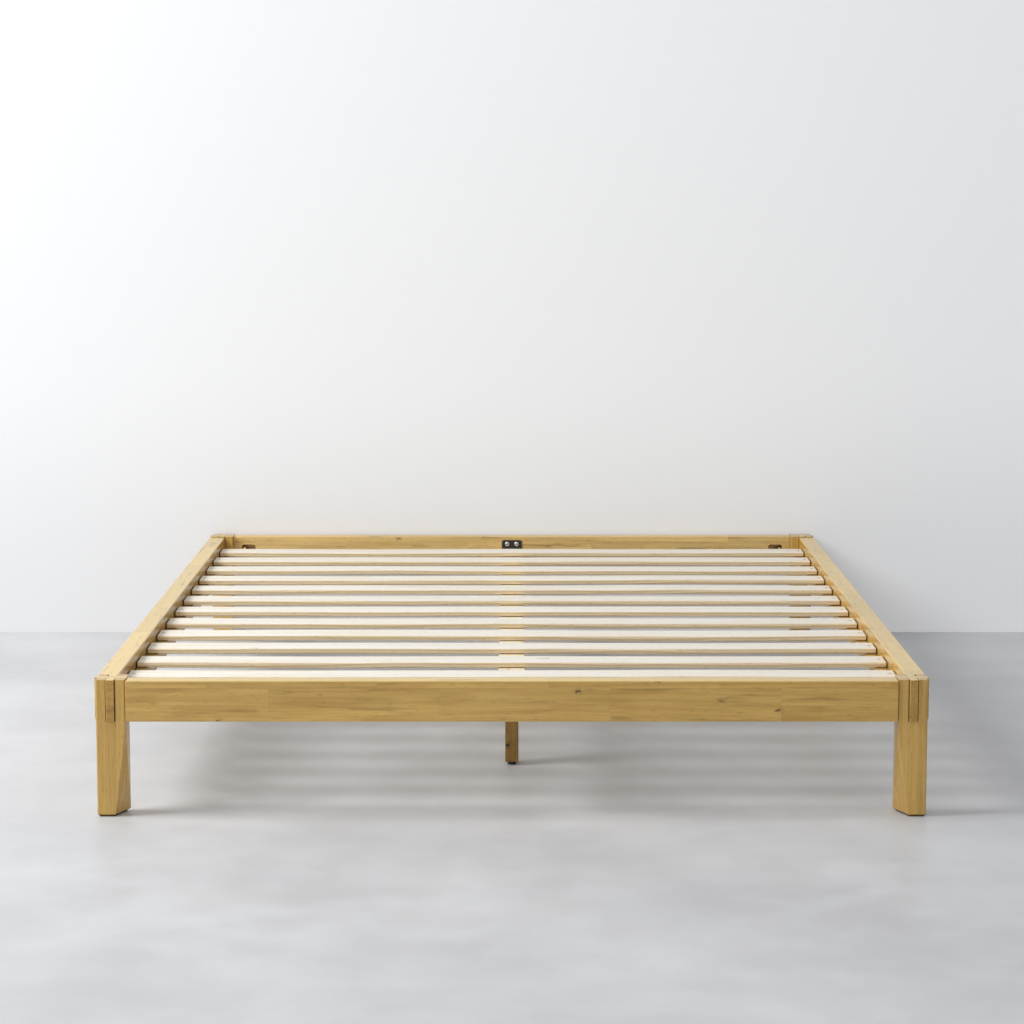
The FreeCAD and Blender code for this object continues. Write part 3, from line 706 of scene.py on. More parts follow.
@dataclass(frozen=True)
class MetalFinish:
    """A plated or coated metal, rubber or plastic with slight clouding."""

    name: str
    main: Colour
    cloud: Colour
    metallic: float = 1.0
    roughness: float = 0.30
    cloud_roughness: float = 0.12
    coarse: float = 220.0
    fine: float = 2500.0
    relief: float = 0.15
    relief_depth: float = 0.08 * MM
    # Painted shade in sockets and corners: its reach, its depth and its openness span.
    painted_shade_width: float = 4.0 * MM
    painted_shade_share: float = 0.85
    painted_shade_span: Span = (0.30, 0.95)

    def material(self) -> bpy.types.Material:
        """Make the finish.

        Returns:
            The new material.
        """
        material, graph, shader = new_material(self.name)
        place = graph.node("TexCoord").outputs["Object"]
        mottle = graph.use(GROUPS.mottle, Place=place, Coarse=self.coarse, Fine=self.fine)
        clouds = mottle.outputs["Clouds"]
        # Painted shade: the colour is darker in sockets, corners and narrow joints.
        level = graph.painted_shade(self.painted_shade_width, *self.painted_shade_span, self.painted_shade_share)
        base = graph.scale(graph.mix(clouds, self.main, self.cloud), level)
        rough = graph.math("MULTIPLY_ADD", clouds, self.cloud_roughness, self.roughness)
        graph.fill(shader, Base_Color=base, Roughness=rough, Metallic=self.metallic)
        add_bump(graph, shader, mottle.outputs["Specks"], self.relief, self.relief_depth)
        return material


FRAME_WOOD = WoodFinish(
    name="honey lacquered wood", light=tone(217, 178, 98), deep=tone(178, 136, 63),
    streak=tone(118, 88, 40), knot=tone(74, 54, 32), edge=tone(184, 143, 72), specular=0.0,
    coat=1.0, coat_roughness=0.22, ring_share=0.25, fleck_share=0.35, patch_share=0.45,
    stave_contrast=0.07, row_height=34.0 * MM, row_start=186.0 * MM, run_length=0.33,
    knot_spacing=0.075, knot_stretch=1.8, knot_size=0.036, knot_amount=0.38)
LEG_WOOD = replace(
    FRAME_WOOD, name="honey lacquered leg wood", row_height=19.5 * MM, run_length=10.0,
    knot_amount=0.02, patch_share=0.15, end_share=0.10)
# A copy of the frame wood with a lighter edge tone: a painted sheen on the rails' tops.
RAIL_WOOD = replace(
    FRAME_WOOD, name="honey lacquered rail wood", edge=tone(240, 208, 122), edge_share=0.55)
# A lighter copy of the frame wood: painted light that brightens the back rail.
PAINTED_LIGHT_RAIL_WOOD = replace(
    FRAME_WOOD, name="paler honey lacquered wood", light=tone(233, 199, 130),
    deep=tone(198, 161, 96))
# The slats' tan edge tone is painted shade on their front and back faces.
SLAT_WOOD = WoodFinish(
    name="pale planed softwood", light=tone(247, 243, 234), deep=tone(237, 225, 201),
    streak=tone(164, 130, 82), knot=tone(96, 72, 48), edge=tone(234, 208, 156),
    ring_width=8.0 * MM, ring_share=0.35, streak_share=0.40, fleck_share=0.40,
    patch_share=0.15, edge_ring_share=0.45, waviness=20.0 * MM,
    knot_spacing=0.06, knot_stretch=5.0, knot_size=0.028, knot_amount=0.08,
    row_height=0.1612, row_start=-0.9531, stave_contrast=0.02, end_share=0.30,
    edge_share=0.75, roughness=0.50, coat=0.35, coat_roughness=0.40)
BEAM_WOOD = WoodFinish(
    name="light planed beam wood", light=tone(252, 239, 210), deep=tone(243, 220, 174),
    streak=tone(186, 146, 92), knot=tone(90, 62, 36), edge=tone(226, 190, 130),
    painted_shade_width=3.0 * MM, edge_share=0.4, roughness=0.50)
CENTRE_LEG_WOOD = WoodFinish(
    name="brown knotty wood", light=tone(176, 136, 60), deep=tone(112, 82, 30),
    streak=tone(62, 42, 18), knot=tone(30, 18, 10), edge=tone(112, 82, 32), specular=0.0,
    patch_share=0.75, knot_spacing=0.050, knot_stretch=0.6, knot_size=0.14,
    knot_amount=0.65, coat=0.8)

BLACK_STEEL = MetalFinish(
    name="black powder coat", main=tone(24, 20, 18), cloud=tone(34, 29, 26),
    metallic=0.0, roughness=0.45, relief=0.5)
BRIGHT_ZINC = MetalFinish(
    name="bright zinc plate", main=tone(214, 213, 210), cloud=tone(186, 186, 188),
    roughness=0.22)
YELLOW_ZINC = MetalFinish(
    name="yellow zinc plate", main=tone(214, 178, 96), cloud=tone(190, 160, 112),
    roughness=0.28)
BLACK_RUBBER = MetalFinish(
    name="black rubber", main=tone(24, 23, 23), cloud=tone(34, 33, 32),
    metallic=0.0, roughness=0.75, relief=0.5)
BLACK_PLASTIC = MetalFinish(
    name="black moulded plastic", main=tone(26, 26, 27), cloud=tone(36, 36, 38),
    metallic=0.0, roughness=0.55, relief=0.35)


# ---- surfaces --------------------------------------------------------------------------------
@dataclass
class Surface:
    """Closed surfaces, gathered as one list of places and one list of faces."""

    places: list[np.ndarray] = field(default_factory=list)
    faces: list[list[tuple[int, ...]]] = field(default_factory=list)
    count: int = 0
    sharp_angle: float = 35.0

    def add_loft(self, rings: np.ndarray) -> None:
        """Add a closed skin through a row of rings, with a pole at the middle of each end ring.

        The skin's quads join point j of ring i to point j + 1 and to ring i + 1. Each end is a fan
        from the mean of the end ring. Where the skin's volume is negative, all faces are turned.

        Args:
            rings: Places as an array of rings by points by three.
        """
        rows, columns, _ = rings.shape
        places = np.concatenate([rings.reshape(-1, 3), rings[:1].mean(axis=1),
                                 rings[-1:].mean(axis=1)])
        index = np.arange(rows * columns).reshape(rows, columns)
        ahead = np.roll(index, -1, axis=1)
        quads = np.stack([index[:-1], ahead[:-1], ahead[1:], index[1:]], axis=-1).reshape(-1, 4)
        first, last = rows * columns, rows * columns + 1
        near = np.stack([np.full(columns, first), ahead[0], index[0]], axis=-1)
        far = np.stack([np.full(columns, last), index[-1], ahead[-1]], axis=-1)
        corners = np.concatenate([quads[:, (0, 1, 2)], quads[:, (0, 2, 3)], near, far])
        a, b, c = (places[corners[:, corner]] for corner in range(3))
        if np.einsum("ij,ij->i", a, np.cross(b, c)).sum() < 0:
            quads, near, far = quads[:, ::-1], near[:, ::-1], far[:, ::-1]
        for block in (quads, near, far):
            self.faces.append((block + self.count).tolist())
        self.places.append(places)
        self.count += len(places)

    def build(self, name: str) -> bpy.types.Object:
        """Make the object, at the origin, with smooth faces and sharp creases.

        Args:
            name: The object's name.

        Returns:
            The object, linked into the scene.
        """
        mesh = bpy.data.meshes.new(name)
        faces = [face for block in self.faces for face in block]
        mesh.from_pydata(np.concatenate(self.places).tolist(), [], faces)
        mesh.polygons.foreach_set("use_smooth", np.ones(len(faces), dtype=bool))
        mesh.set_sharp_from_angle(angle=math.radians(self.sharp_angle))
        mesh.update()
        return link(bpy.data.objects.new(name, mesh))


def link(made: bpy.types.Object) -> bpy.types.Object:
    """Put a new object into the scene."""
    bpy.context.scene.collection.objects.link(made)
    return made


def smooth_step(value: np.ndarray, low: float, high: float) -> np.ndarray:
    """A smooth rise from 0 at low to 1 at high: with t the share of the way, 3t² less 2t³."""
    share = np.clip((value - low) / (high - low), 0.0, 1.0)
    return share * share * (3.0 - 2.0 * share)


def round_angles(sides: int) -> np.ndarray:
    """The angles of evenly spaced points round a circle, in radians."""
    return np.linspace(0.0, FULL_TURN, sides, endpoint=False)


def place_rings(radius: np.ndarray, along: np.ndarray, angle: np.ndarray, start: Vector,
                axis: Vector) -> np.ndarray:
    """Rings round an axis.

    Point (i, j) lies at along[i] from the start, and at radius[i, j] from the axis towards angle j.

    Args:
        radius: Distance from the axis for each ring and angle.
        along: Distance along the axis for each ring.
        angle: Angle of each point of a ring, in radians.
        start: Where the axis starts.
        axis: The axis, as a unit vector.

    Returns:
        Places as an array of rings by points by three.
    """
    side = axis.orthogonal().normalized()
    other = axis.cross(side)
    round_part = (radius[..., None] * (np.cos(angle)[:, None] * np.array(side)
                                       + np.sin(angle)[:, None] * np.array(other)))
    return np.array(start) + along[:, None, None] * np.array(axis) + round_part


def hexagon_radius(angle: np.ndarray, flats: float) -> np.ndarray:
    """A hexagon's radius: half its flats over the cosine of the angle off the nearest flat."""
    sixth = FULL_TURN / 6.0
    return flats / 2.0 / np.cos((angle + sixth / 2.0) % sixth - sixth / 2.0)


@dataclass(frozen=True)
class Box:
    """The upright box round a solid, by its lowest and highest corners."""

    low: Vector
    high: Vector

    @property
    def size(self) -> Vector:
        """The box's size along each axis."""
        return self.high - self.low

    @property
    def middle(self) -> Vector:
        """The middle of the box."""
        return (self.low + self.high) / 2.0

    def face(self, axis: int, high: bool = False) -> Vector:
        """The middle of one of the box's faces.

        Args:
            axis: The axis that the face lies across, from 0 for X to 2 for Z.
            high: Whether it is the face at the axis's high end.

        Returns:
            The place.
        """
        place = self.middle
        place[axis] = (self.high if high else self.low)[axis]
        return place


@dataclass(frozen=True)
class Thread:
    """A threaded rod, pointed a little at both ends."""

    radius: float
    pitch: float = 1.25 * MM
    depth: float = 0.65 * MM
    samples: int = 6
    sides: int = 20
    fewest_rings: int = 8

    def rings(self, start: Vector, axis: Vector, length: float) -> np.ndarray:
        """The rod's skin.

        The radius is the full radius, less the thread's depth times a triangle wave of the distance
        along the rod over the pitch, less the angle over a full turn. Near both ends a chamfer caps
        it.

        Args:
            start: The middle of one end.
            axis: The rod's axis, as a unit vector.
            length: The rod's length.

        Returns:
            Places as an array of rings by points by three.
        """
        count = max(int(length / self.pitch * self.samples), self.fewest_rings)
        along = np.linspace(0.0, length, count)
        angle = round_angles(self.sides)
        phase = (along[:, None] / self.pitch - angle[None, :] / FULL_TURN) % 1.0
        groove = np.abs(2.0 * phase - 1.0)
        radius = self.radius - self.depth * groove
        ends = np.minimum(along, length - along)[:, None]
        radius = np.minimum(radius, self.radius - self.depth + ends)
        return place_rings(radius, along, angle, start, axis)


@dataclass(frozen=True)
class ButtonScrew:
    """A domed socket screw, from the floor of its socket over its dome to the tip of its shank.

    The socket's floor is a shallow cone, and its wall ends at a lip inside the dome's flat rim.
    """

    head_radius: float
    head_height: float
    shank_radius: float
    length: float
    socket_flats: float = 5.0 * MM
    socket_depth: float = 2.5 * MM
    lip_drop: float = 0.15 * MM
    seat_gap: float = 0.02 * MM
    dome_steps: int = 10
    sides: int = 48
    # Rings of the socket: the share of the hexagon, and the share of the depth below the crown.
    socket_rings: tuple[Pair, ...] = ((0.02, 1.15), (0.98, 1.0), (1.0, 0.97))
    # The lip over the hexagon, the rim over half its flats and the dome's edge over the crown.
    lip_share: float = 1.02
    rim_share: float = 1.25
    edge_share: float = 0.22
    # The tip's length and its end's radius over the radius of the shank.
    tip_length: float = 3.0
    tip_share: float = 0.15

    def rings(self, seat: Vector, axis: Vector) -> np.ndarray:
        """The screw's skin, with its head on a seat and its shank along an axis.

        The socket's rings are hexagons. From its rim outwards the dome's radius grows with the sine
        of an angle, and its height falls with the cosine, over a quarter turn. The shank is a
        cylinder with a cone at its tip.

        Args:
            seat: The middle of the head's underside.
            axis: The way from the head to the tip, as a unit vector.

        Returns:
            Places as an array of rings by points by three.
        """
        angle = round_angles(self.sides)
        hexagon = hexagon_radius(angle, self.socket_flats)
        crown = self.head_height
        radii = [hexagon * share for share, _ in self.socket_rings] + [hexagon * self.lip_share]
        heights = [crown - self.socket_depth * share for _, share in self.socket_rings]
        heights.append(crown - self.lip_drop)
        rim = self.socket_flats / 2.0 * self.rim_share
        sweep = np.linspace(0.0, QUARTER_TURN, self.dome_steps)
        edge = self.edge_share * crown
        outline = list(zip(rim + (self.head_radius - rim) * np.sin(sweep),
                           edge + (crown - edge) * np.cos(sweep)))
        tip = self.tip_length * self.shank_radius
        outline += [(self.head_radius, self.seat_gap), (self.shank_radius, 0.0),
                    (self.shank_radius, -(self.length - tip)),
                    (self.shank_radius * self.tip_share, -self.length)]
        for reach, height in outline:
            radii.append(np.full(self.sides, reach))
            heights.append(height)
        return place_rings(np.array(radii), -np.array(heights), angle, seat, axis)


# ---- sub-assemblies --------------------------------------------------------------------------
def dress(node: str, material: bpy.types.Material) -> None:
    """Give a node of the frame its finish.

    Args:
        node: The node's name.
        material: Its finish.
    """
    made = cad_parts[node]
    made.data.materials.clear()
    made.data.materials.append(material)
    LOG.info("%s: %s", node, material.name)


def add_piece(skins: list[np.ndarray], name: str, material: bpy.types.Material, body: str,
              node: str) -> None:
    """Build a piece that stands for a node of the frame.

    Args:
        skins: The rings of each of its closed skins.
        name: The piece's name.
        material: Its finish.
        body: The body that it rides on.
        node: The node that it replaces.
    """
    surface = Surface()
    for rings in skins:
        surface.add_loft(rings)
    piece = surface.build(name)
    piece.data.materials.append(material)
    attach(piece, body)
    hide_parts(node)
    LOG.info("%s: %d faces, %s", name, len(piece.data.polygons), material.name)


def islands(node: str) -> list[Box]:
    """The boxes of the separate solids in a node, sorted by place.

    A node's triangles are loose, so places that agree to a tenth of a millimetre count as one, and
    triangles that share a place belong to the same solid.

    Args:
        node: The node's name.

    Returns:
        The box of each solid.
    """
    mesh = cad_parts[node].data
    places = np.zeros(len(mesh.vertices) * 3)
    mesh.vertices.foreach_get("co", places)
    places = places.reshape(-1, 3)
    corners = np.zeros(len(mesh.loops), dtype=int)
    mesh.loops.foreach_get("vertex_index", corners)
    _, same = np.unique(np.round(places / SAME_PLACE).astype(int), axis=0, return_inverse=True)
    same = same.ravel()
    triangles = same[corners].reshape(-1, 3)
    label = np.arange(same.max() + 1)
    while True:
        lowest = label[triangles].min(axis=1)
        before = label.copy()
        for corner in range(3):
            np.minimum.at(label, triangles[:, corner], lowest)
        if np.array_equal(before, label):
            break
    found = []
    for solid in np.unique(label[same]):
        part = places[label[same] == solid]
        found.append(Box(Vector(part.min(axis=0)), Vector(part.max(axis=0))))
    return sorted(found, key=lambda box: tuple(round(value, SORT_DIGITS) for value in box.low))


@dataclass
class CornerLegs:
    """The four slotted legs and their pads."""

    corners: tuple[str, ...] = ("front_left", "front_right", "back_left", "back_right")
    first_seed: float = 11.0

    def dress(self) -> None:
        """Give each leg upright grain in its own place, and each pad its rubber."""
        rubber = BLACK_RUBBER.material()
        for number, corner in enumerate(self.corners):
            low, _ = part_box("leg_" + corner)
            wood = replace(LEG_WOOD, row_start=low.x)
            dress("leg_" + corner, wood.material(Run.UPRIGHT, self.first_seed + number))
            dress("leg_pad_" + corner, rubber)


@dataclass
class RailFrame:
    """The four rails and the two ledgers."""

    front_seed: float = 3.0
    back_seed: float = 4.0
    side_seed: float = 5.0
    ledger_seed: float = 7.0

    def dress(self) -> None:
        """Give the end rails grain across the bed, and all else here grain along it."""
        # The rails' finish paints a sheen on their tops, and the back rail's lighter copy of it is
        # painted light.
        dress("front_rail", RAIL_WOOD.material(Run.ACROSS_UPRIGHT, self.front_seed))
        dress("back_rail", PAINTED_LIGHT_RAIL_WOOD.material(Run.ACROSS_UPRIGHT, self.back_seed))
        for number, side in enumerate(("left", "right")):
            dress(side + "_rail", RAIL_WOOD.material(Run.LENGTHWAYS, self.side_seed + number))
            dress(side + "_ledger", FRAME_WOOD.material(Run.LENGTHWAYS, self.ledger_seed + number))


@dataclass
class SlatBed:
    """The twelve slats: boards with eased edges, a little bend of their own and two screw seats."""

    count: int = 12
    edge_round: float = 3.5 * MM
    end_round: float = 1.0 * MM
    bow: float = 1.3 * MM
    crook: float = 1.4 * MM
    seat_radius: float = 4.25 * MM
    seat_wall: float = 0.25 * MM
    seat_depth: float = 1.0 * MM
    seat_pitch: float = 0.45 * MM
    station_gap: float = 22.0 * MM
    top_steps: int = 6
    under_steps: int = 5
    corner_steps: int = 7
    end_steps: int = 5
    outer_steps: int = 3
    upright: float = 0.99
    wood_seed: float = 21.0
    bend_seed: int = 12

    @property
    def seat_reach(self) -> float:
        """How far the finer mesh reaches from a screw's middle."""
        return self.seat_radius + 2.0 * self.seat_pitch

    def profile(self, width: float, thickness: float) -> tuple[np.ndarray, np.ndarray]:
        """A slat's section: a rectangle with quarter-circle corners, finer over the screw seat.

        Args:
            width: Size across the slat.
            thickness: Size up and down.

        Returns:
            Places round the section and the outward direction at each, both as points by two.
        """
        radius, reach = self.edge_round, self.seat_reach
        flat, up = width / 2.0 - radius, thickness / 2.0
        fine = np.arange(-reach, reach + self.seat_pitch / 2.0, self.seat_pitch)
        top = np.concatenate([np.linspace(-flat, -reach, self.top_steps)[:-1], fine,
                              np.linspace(reach, flat, self.top_steps)[1:]])
        bottom = np.linspace(flat, -flat, self.under_steps)
        turn = np.linspace(0.0, QUARTER_TURN, self.corner_steps)[1:-1]
        right = np.array([[flat + radius, up - radius], [flat + radius, radius - up]])
        sides = (np.stack([top, np.full(len(top), up)], axis=1), right,
                 np.stack([bottom, np.full(len(bottom), -up)], axis=1), -right)
        centres = ((flat, up - radius), (flat, radius - up), (-flat, radius - up),
                   (-flat, up - radius))
        places, outward = [], []
        for quarter, (side, centre) in enumerate(zip(sides, centres)):
            straight = QUARTER_TURN * (1 - quarter)
            facing = np.round([math.cos(straight), math.sin(straight)])
            angle = straight - turn
            corner = np.stack([np.cos(angle), np.sin(angle)], axis=1)
            places += [side, np.array(centre) + radius * corner]
            outward += [np.tile(facing, (len(side), 1)), corner]
        return np.concatenate(places), np.concatenate(outward)

    def stations(self, half: float, screw: float) -> tuple[np.ndarray, np.ndarray]:
        """The places along a slat where a ring goes, and how far each ring is drawn in.

        The end edges are quarter circles: a ring at angle t lies at the end less r (1 - cos t) and
        is drawn in by r (1 - sin t). The rings are closer together over the screw seats.

        Args:
            half: Half the slat's length.
            screw: A screw's distance from the slat's middle.

        Returns:
            The places and the amounts.
        """
        turn = np.linspace(0.0, QUARTER_TURN, self.end_steps)
        end_along = half - self.end_round * (1.0 - np.cos(turn))
        end_inset = self.end_round * (1.0 - np.sin(turn))
        reach = self.seat_reach
        fine = np.arange(screw - reach, screw + reach, self.seat_pitch)
        inner = np.linspace(0.0, screw - reach, int(screw / self.station_gap))[1:-1]
        outer = np.linspace(screw + reach, half - self.end_round, self.outer_steps)[:-1]
        middle = np.concatenate([inner, fine, outer])
        right = np.concatenate([middle, end_along[::-1]])
        inset = np.concatenate([np.zeros(len(middle)), end_inset[::-1]])
        along = np.concatenate([-right[::-1], [0.0], right])
        return along, np.concatenate([inset[::-1], [0.0], inset])

    def rings(self, box: Box, screw: float, bends: np.ndarray) -> np.ndarray:
        """One slat's skin.

        The section is carried along X. It rises by the bow times the squared sine of a half turn
        between the beam and each screw, so the slat still lies on the beam and the ledgers, and it
        swings sideways by the crook times a half wave. The top dips round the screws.

        Args:
            box: The slat's box.
            screw: A screw's distance from the slat's middle.
            bends: The bow of the left half and of the right half, and the crook.

        Returns:
            Places as an array of rings by points by three.
        """
        size, middle = box.size, box.middle
        section, outward = self.profile(size.y, size.z)
        along, inset = self.stations(size.x / 2.0, screw)
        points = section[None] - outward[None] * inset[:, None, None]
        y, z = points[..., 0], points[..., 1]
        x = np.repeat(along[:, None], len(section), axis=1)
        gap = np.hypot(np.abs(x) - screw, y)
        seat = 1.0 - smooth_step(gap, self.seat_radius - self.seat_wall, self.seat_radius)
        dip = self.seat_depth * seat * (outward[None, :, 1] > self.upright)
        share = np.clip(np.abs(x) / screw, 0.0, 1.0)
        lift = np.where(x < 0.0, bends[0], bends[1]) * np.sin(math.pi * share) ** 2
        swing = bends[2] * np.sin(math.pi * np.clip(x / screw, -1.0, 1.0))
        return np.stack([middle.x + x, middle.y + y + swing, middle.z + z - dip + lift], axis=-1)

    def build(self) -> None:
        """Make every slat, and dress the slat screws and ledger screws."""
        # The slat finish paints shade on the slats' front and back faces.
        wood = SLAT_WOOD.material(Run.ACROSS_FLAT, self.wood_seed)
        screw = max(box.middle.x for box in islands("slat_screws"))
        random = np.random.default_rng(self.bend_seed)
        for number in range(1, self.count + 1):
            node = "slat_%02d" % number
            bends = random.uniform(-1.0, 1.0, 3) * np.array([self.bow, self.bow, self.crook])
            rings = self.rings(Box(*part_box(node)), screw, bends)
            add_piece([rings], node + "_board", wood, "frame", node)
        steel = BRIGHT_ZINC.material()
        dress("slat_screws", steel)
        dress("ledger_screws", steel)


@dataclass
class CentreSupport:
    """The beam, its brackets and screws, the centre legs and their screw feet."""

    leg_count: int = 3
    beam_seed: float = 31.0
    leg_seed: float = 53.0
    bracket_head: float = 3.2 * MM
    bracket_shank: float = 3.0 * MM
    bracket_screw: float = 26.0 * MM
    beam_head: float = 2.6 * MM
    beam_shank: float = 2.2 * MM
    beam_screw: float = 24.0 * MM
    beam_flats: float = 3.0 * MM
    beam_socket: float = 1.5 * MM
    sole_round: float = 0.8 * MM
    shoulder_round: float = 1.4 * MM
    round_steps: int = 5
    # The foot's height at the end of its smooth sole, and at both ends of its grip, as shares.
    grip: tuple[float, ...] = (0.28, 0.34, 0.74)
    rib_count: int = 28
    rib_depth: float = 0.30 * MM
    sides: int = 168

    def foot_rings(self, box: Box) -> np.ndarray:
        """A moulded foot base: a ribbed grip over a smooth sole.

        The radius follows the height from the sole's rounded rim, up the grip and over its
        shoulder. In the grip it is less by half the rib's depth times one less the cosine of the
        angle times the number of ribs.

        Args:
            box: The foot base's box.

        Returns:
            Places as an array of rings by points by three.
        """
        outer, height = box.size.x / 2.0, box.size.z
        turn = np.linspace(0.0, QUARTER_TURN, self.round_steps)
        sole, shoulder = self.sole_round, self.shoulder_round
        along = np.concatenate([sole * (1.0 - np.cos(turn)), np.array(self.grip) * height,
                                height - shoulder * (1.0 - np.sin(turn))])
        radius = np.concatenate([outer - sole * (1.0 - np.sin(turn)),
                                 np.full(len(self.grip), outer),
                                 outer - shoulder * (1.0 - np.cos(turn))])
        ribbed = np.zeros(len(along))
        ribbed[self.round_steps + 1:self.round_steps + 4] = 1.0
        angle = round_angles(self.sides)
        wave = 0.5 * self.rib_depth * (1.0 - np.cos(self.rib_count * angle))
        return place_rings(radius[:, None] - ribbed[:, None] * wave[None, :], along, angle,
                           box.face(2), UP)

    def bracket_rings(self, box: Box) -> np.ndarray:
        """A screw through a bracket into an end rail.

        Args:
            box: The screw's box.

        Returns:
            Places as an array of rings by points by three.
        """
        outwards = 1.0 if box.low.y > 0.0 else -1.0
        screw = ButtonScrew(head_radius=box.size.x / 2.0, head_height=self.bracket_head,
                            shank_radius=self.bracket_shank, length=self.bracket_screw)
        seat = box.face(1, high=outwards < 0.0)
        seat.y += outwards * self.bracket_head
        return screw.rings(seat, Vector((0.0, outwards, 0.0)))

    def shelf_rings(self, box: Box) -> np.ndarray:
        """A screw up through a bracket's shelf into the beam.

        Args:
            box: The screw's box.

        Returns:
            Places as an array of rings by points by three.
        """
        screw = ButtonScrew(head_radius=box.size.x / 2.0, head_height=self.beam_head,
                            shank_radius=self.beam_shank, length=self.beam_screw,
                            socket_flats=self.beam_flats, socket_depth=self.beam_socket)
        seat = box.face(2)
        seat.z += self.beam_head
        return screw.rings(seat, UP)

    def build(self) -> None:
        """Dress the beam, brackets and legs, and build the screws and feet."""
        dress("centre_beam", BEAM_WOOD.material(Run.LENGTHWAYS_FLAT, self.beam_seed))
        coat = BLACK_STEEL.material()
        dress("front_beam_bracket", coat)
        dress("back_beam_bracket", coat)
        zinc = BRIGHT_ZINC.material()
        add_piece([self.bracket_rings(box) for box in islands("bracket_screws")],
                  "bracket_button_screws", zinc, "frame", "bracket_screws")
        add_piece([self.shelf_rings(box) for box in islands("beam_screws")],
                  "beam_button_screws", zinc, "frame", "beam_screws")
        plastic = BLACK_PLASTIC.material()
        for number in range(1, self.leg_count + 1):
            leg, base, stem = ("%s_%d" % (name, number)
                               for name in ("centre_leg", "foot_base", "foot_stem"))
            body = "foot_%d" % number
            dress(leg, CENTRE_LEG_WOOD.material(Run.UPRIGHT, self.leg_seed + number))
            add_piece([self.foot_rings(Box(*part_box(base)))], "moulded_foot_%d" % number, plastic,
                      body, base)
            box = Box(*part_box(stem))
            thread = Thread(radius=box.size.x / 2.0)
            add_piece([thread.rings(box.face(2), UP, box.size.z)], "threaded_stem_%d" % number,
                      zinc, body, stem)
        brass = YELLOW_ZINC.material()
        dress("centre_leg_studs", brass)
        dress("foot_inserts", brass)


@dataclass
class CornerHardware:
    """The threaded studs, round washers, nuts and inserts in the corner pockets."""

    nut_flats: float = 13.0 * MM
    nut_sides: int = 60
    nut_stations: tuple[float, ...] = (0.0, 0.02, 0.10, 0.18, 0.82, 0.90, 0.98, 1.0)
    cone_start: float = 0.96
    cone_slope: float = 1.6

    def nut_rings(self, box: Box) -> np.ndarray:
        """A hexagon nut whose corners are turned off by a cone at both ends.

        The radius is the hexagon's, but no more than the cone's, which grows from just under half
        the flats at the ends.

        Args:
            box: The nut's box.

        Returns:
            Places as an array of rings by points by three.
        """
        length = box.size.x
        along = np.array(self.nut_stations) * length
        angle = round_angles(self.nut_sides)
        ends = np.minimum(along, length - along)
        cone = self.nut_flats / 2.0 * self.cone_start + ends * self.cone_slope
        radius = np.minimum(hexagon_radius(angle, self.nut_flats)[None, :], cone[:, None])
        return place_rings(radius, along, angle, box.face(0), ACROSS)

    def build(self) -> None:
        """Dress the washers and inserts, and build the studs and nuts."""
        zinc = YELLOW_ZINC.material()
        studs = [Thread(radius=box.size.z / 2.0).rings(box.face(0), ACROSS, box.size.x)
                 for box in islands("corner_bolts")]
        add_piece(studs, "threaded_studs", zinc, "frame", "corner_bolts")
        add_piece([self.nut_rings(box) for box in islands("corner_nuts")], "hexagon_nuts", zinc,
                  "frame", "corner_nuts")
        dress("corner_washers", zinc)
        dress("corner_inserts", zinc)


# ---- studio ----------------------------------------------------------------------------------
@dataclass(frozen=True)
class Lamp:
    """A large square white lamp, aimed at a point."""

    name: str
    place: Vector
    aim: Vector
    size: float
    power: float

    def build(self) -> None:
        """Add the lamp."""
        lamp = bpy.data.lights.new(self.name, "AREA")
        lamp.shape = "SQUARE"
        lamp.size = self.size
        lamp.energy = self.power
        made = link(bpy.data.objects.new(self.name, lamp))
        made.location = self.place
        made.rotation_euler = (self.aim - self.place).to_track_quat("-Z", "Y").to_euler()


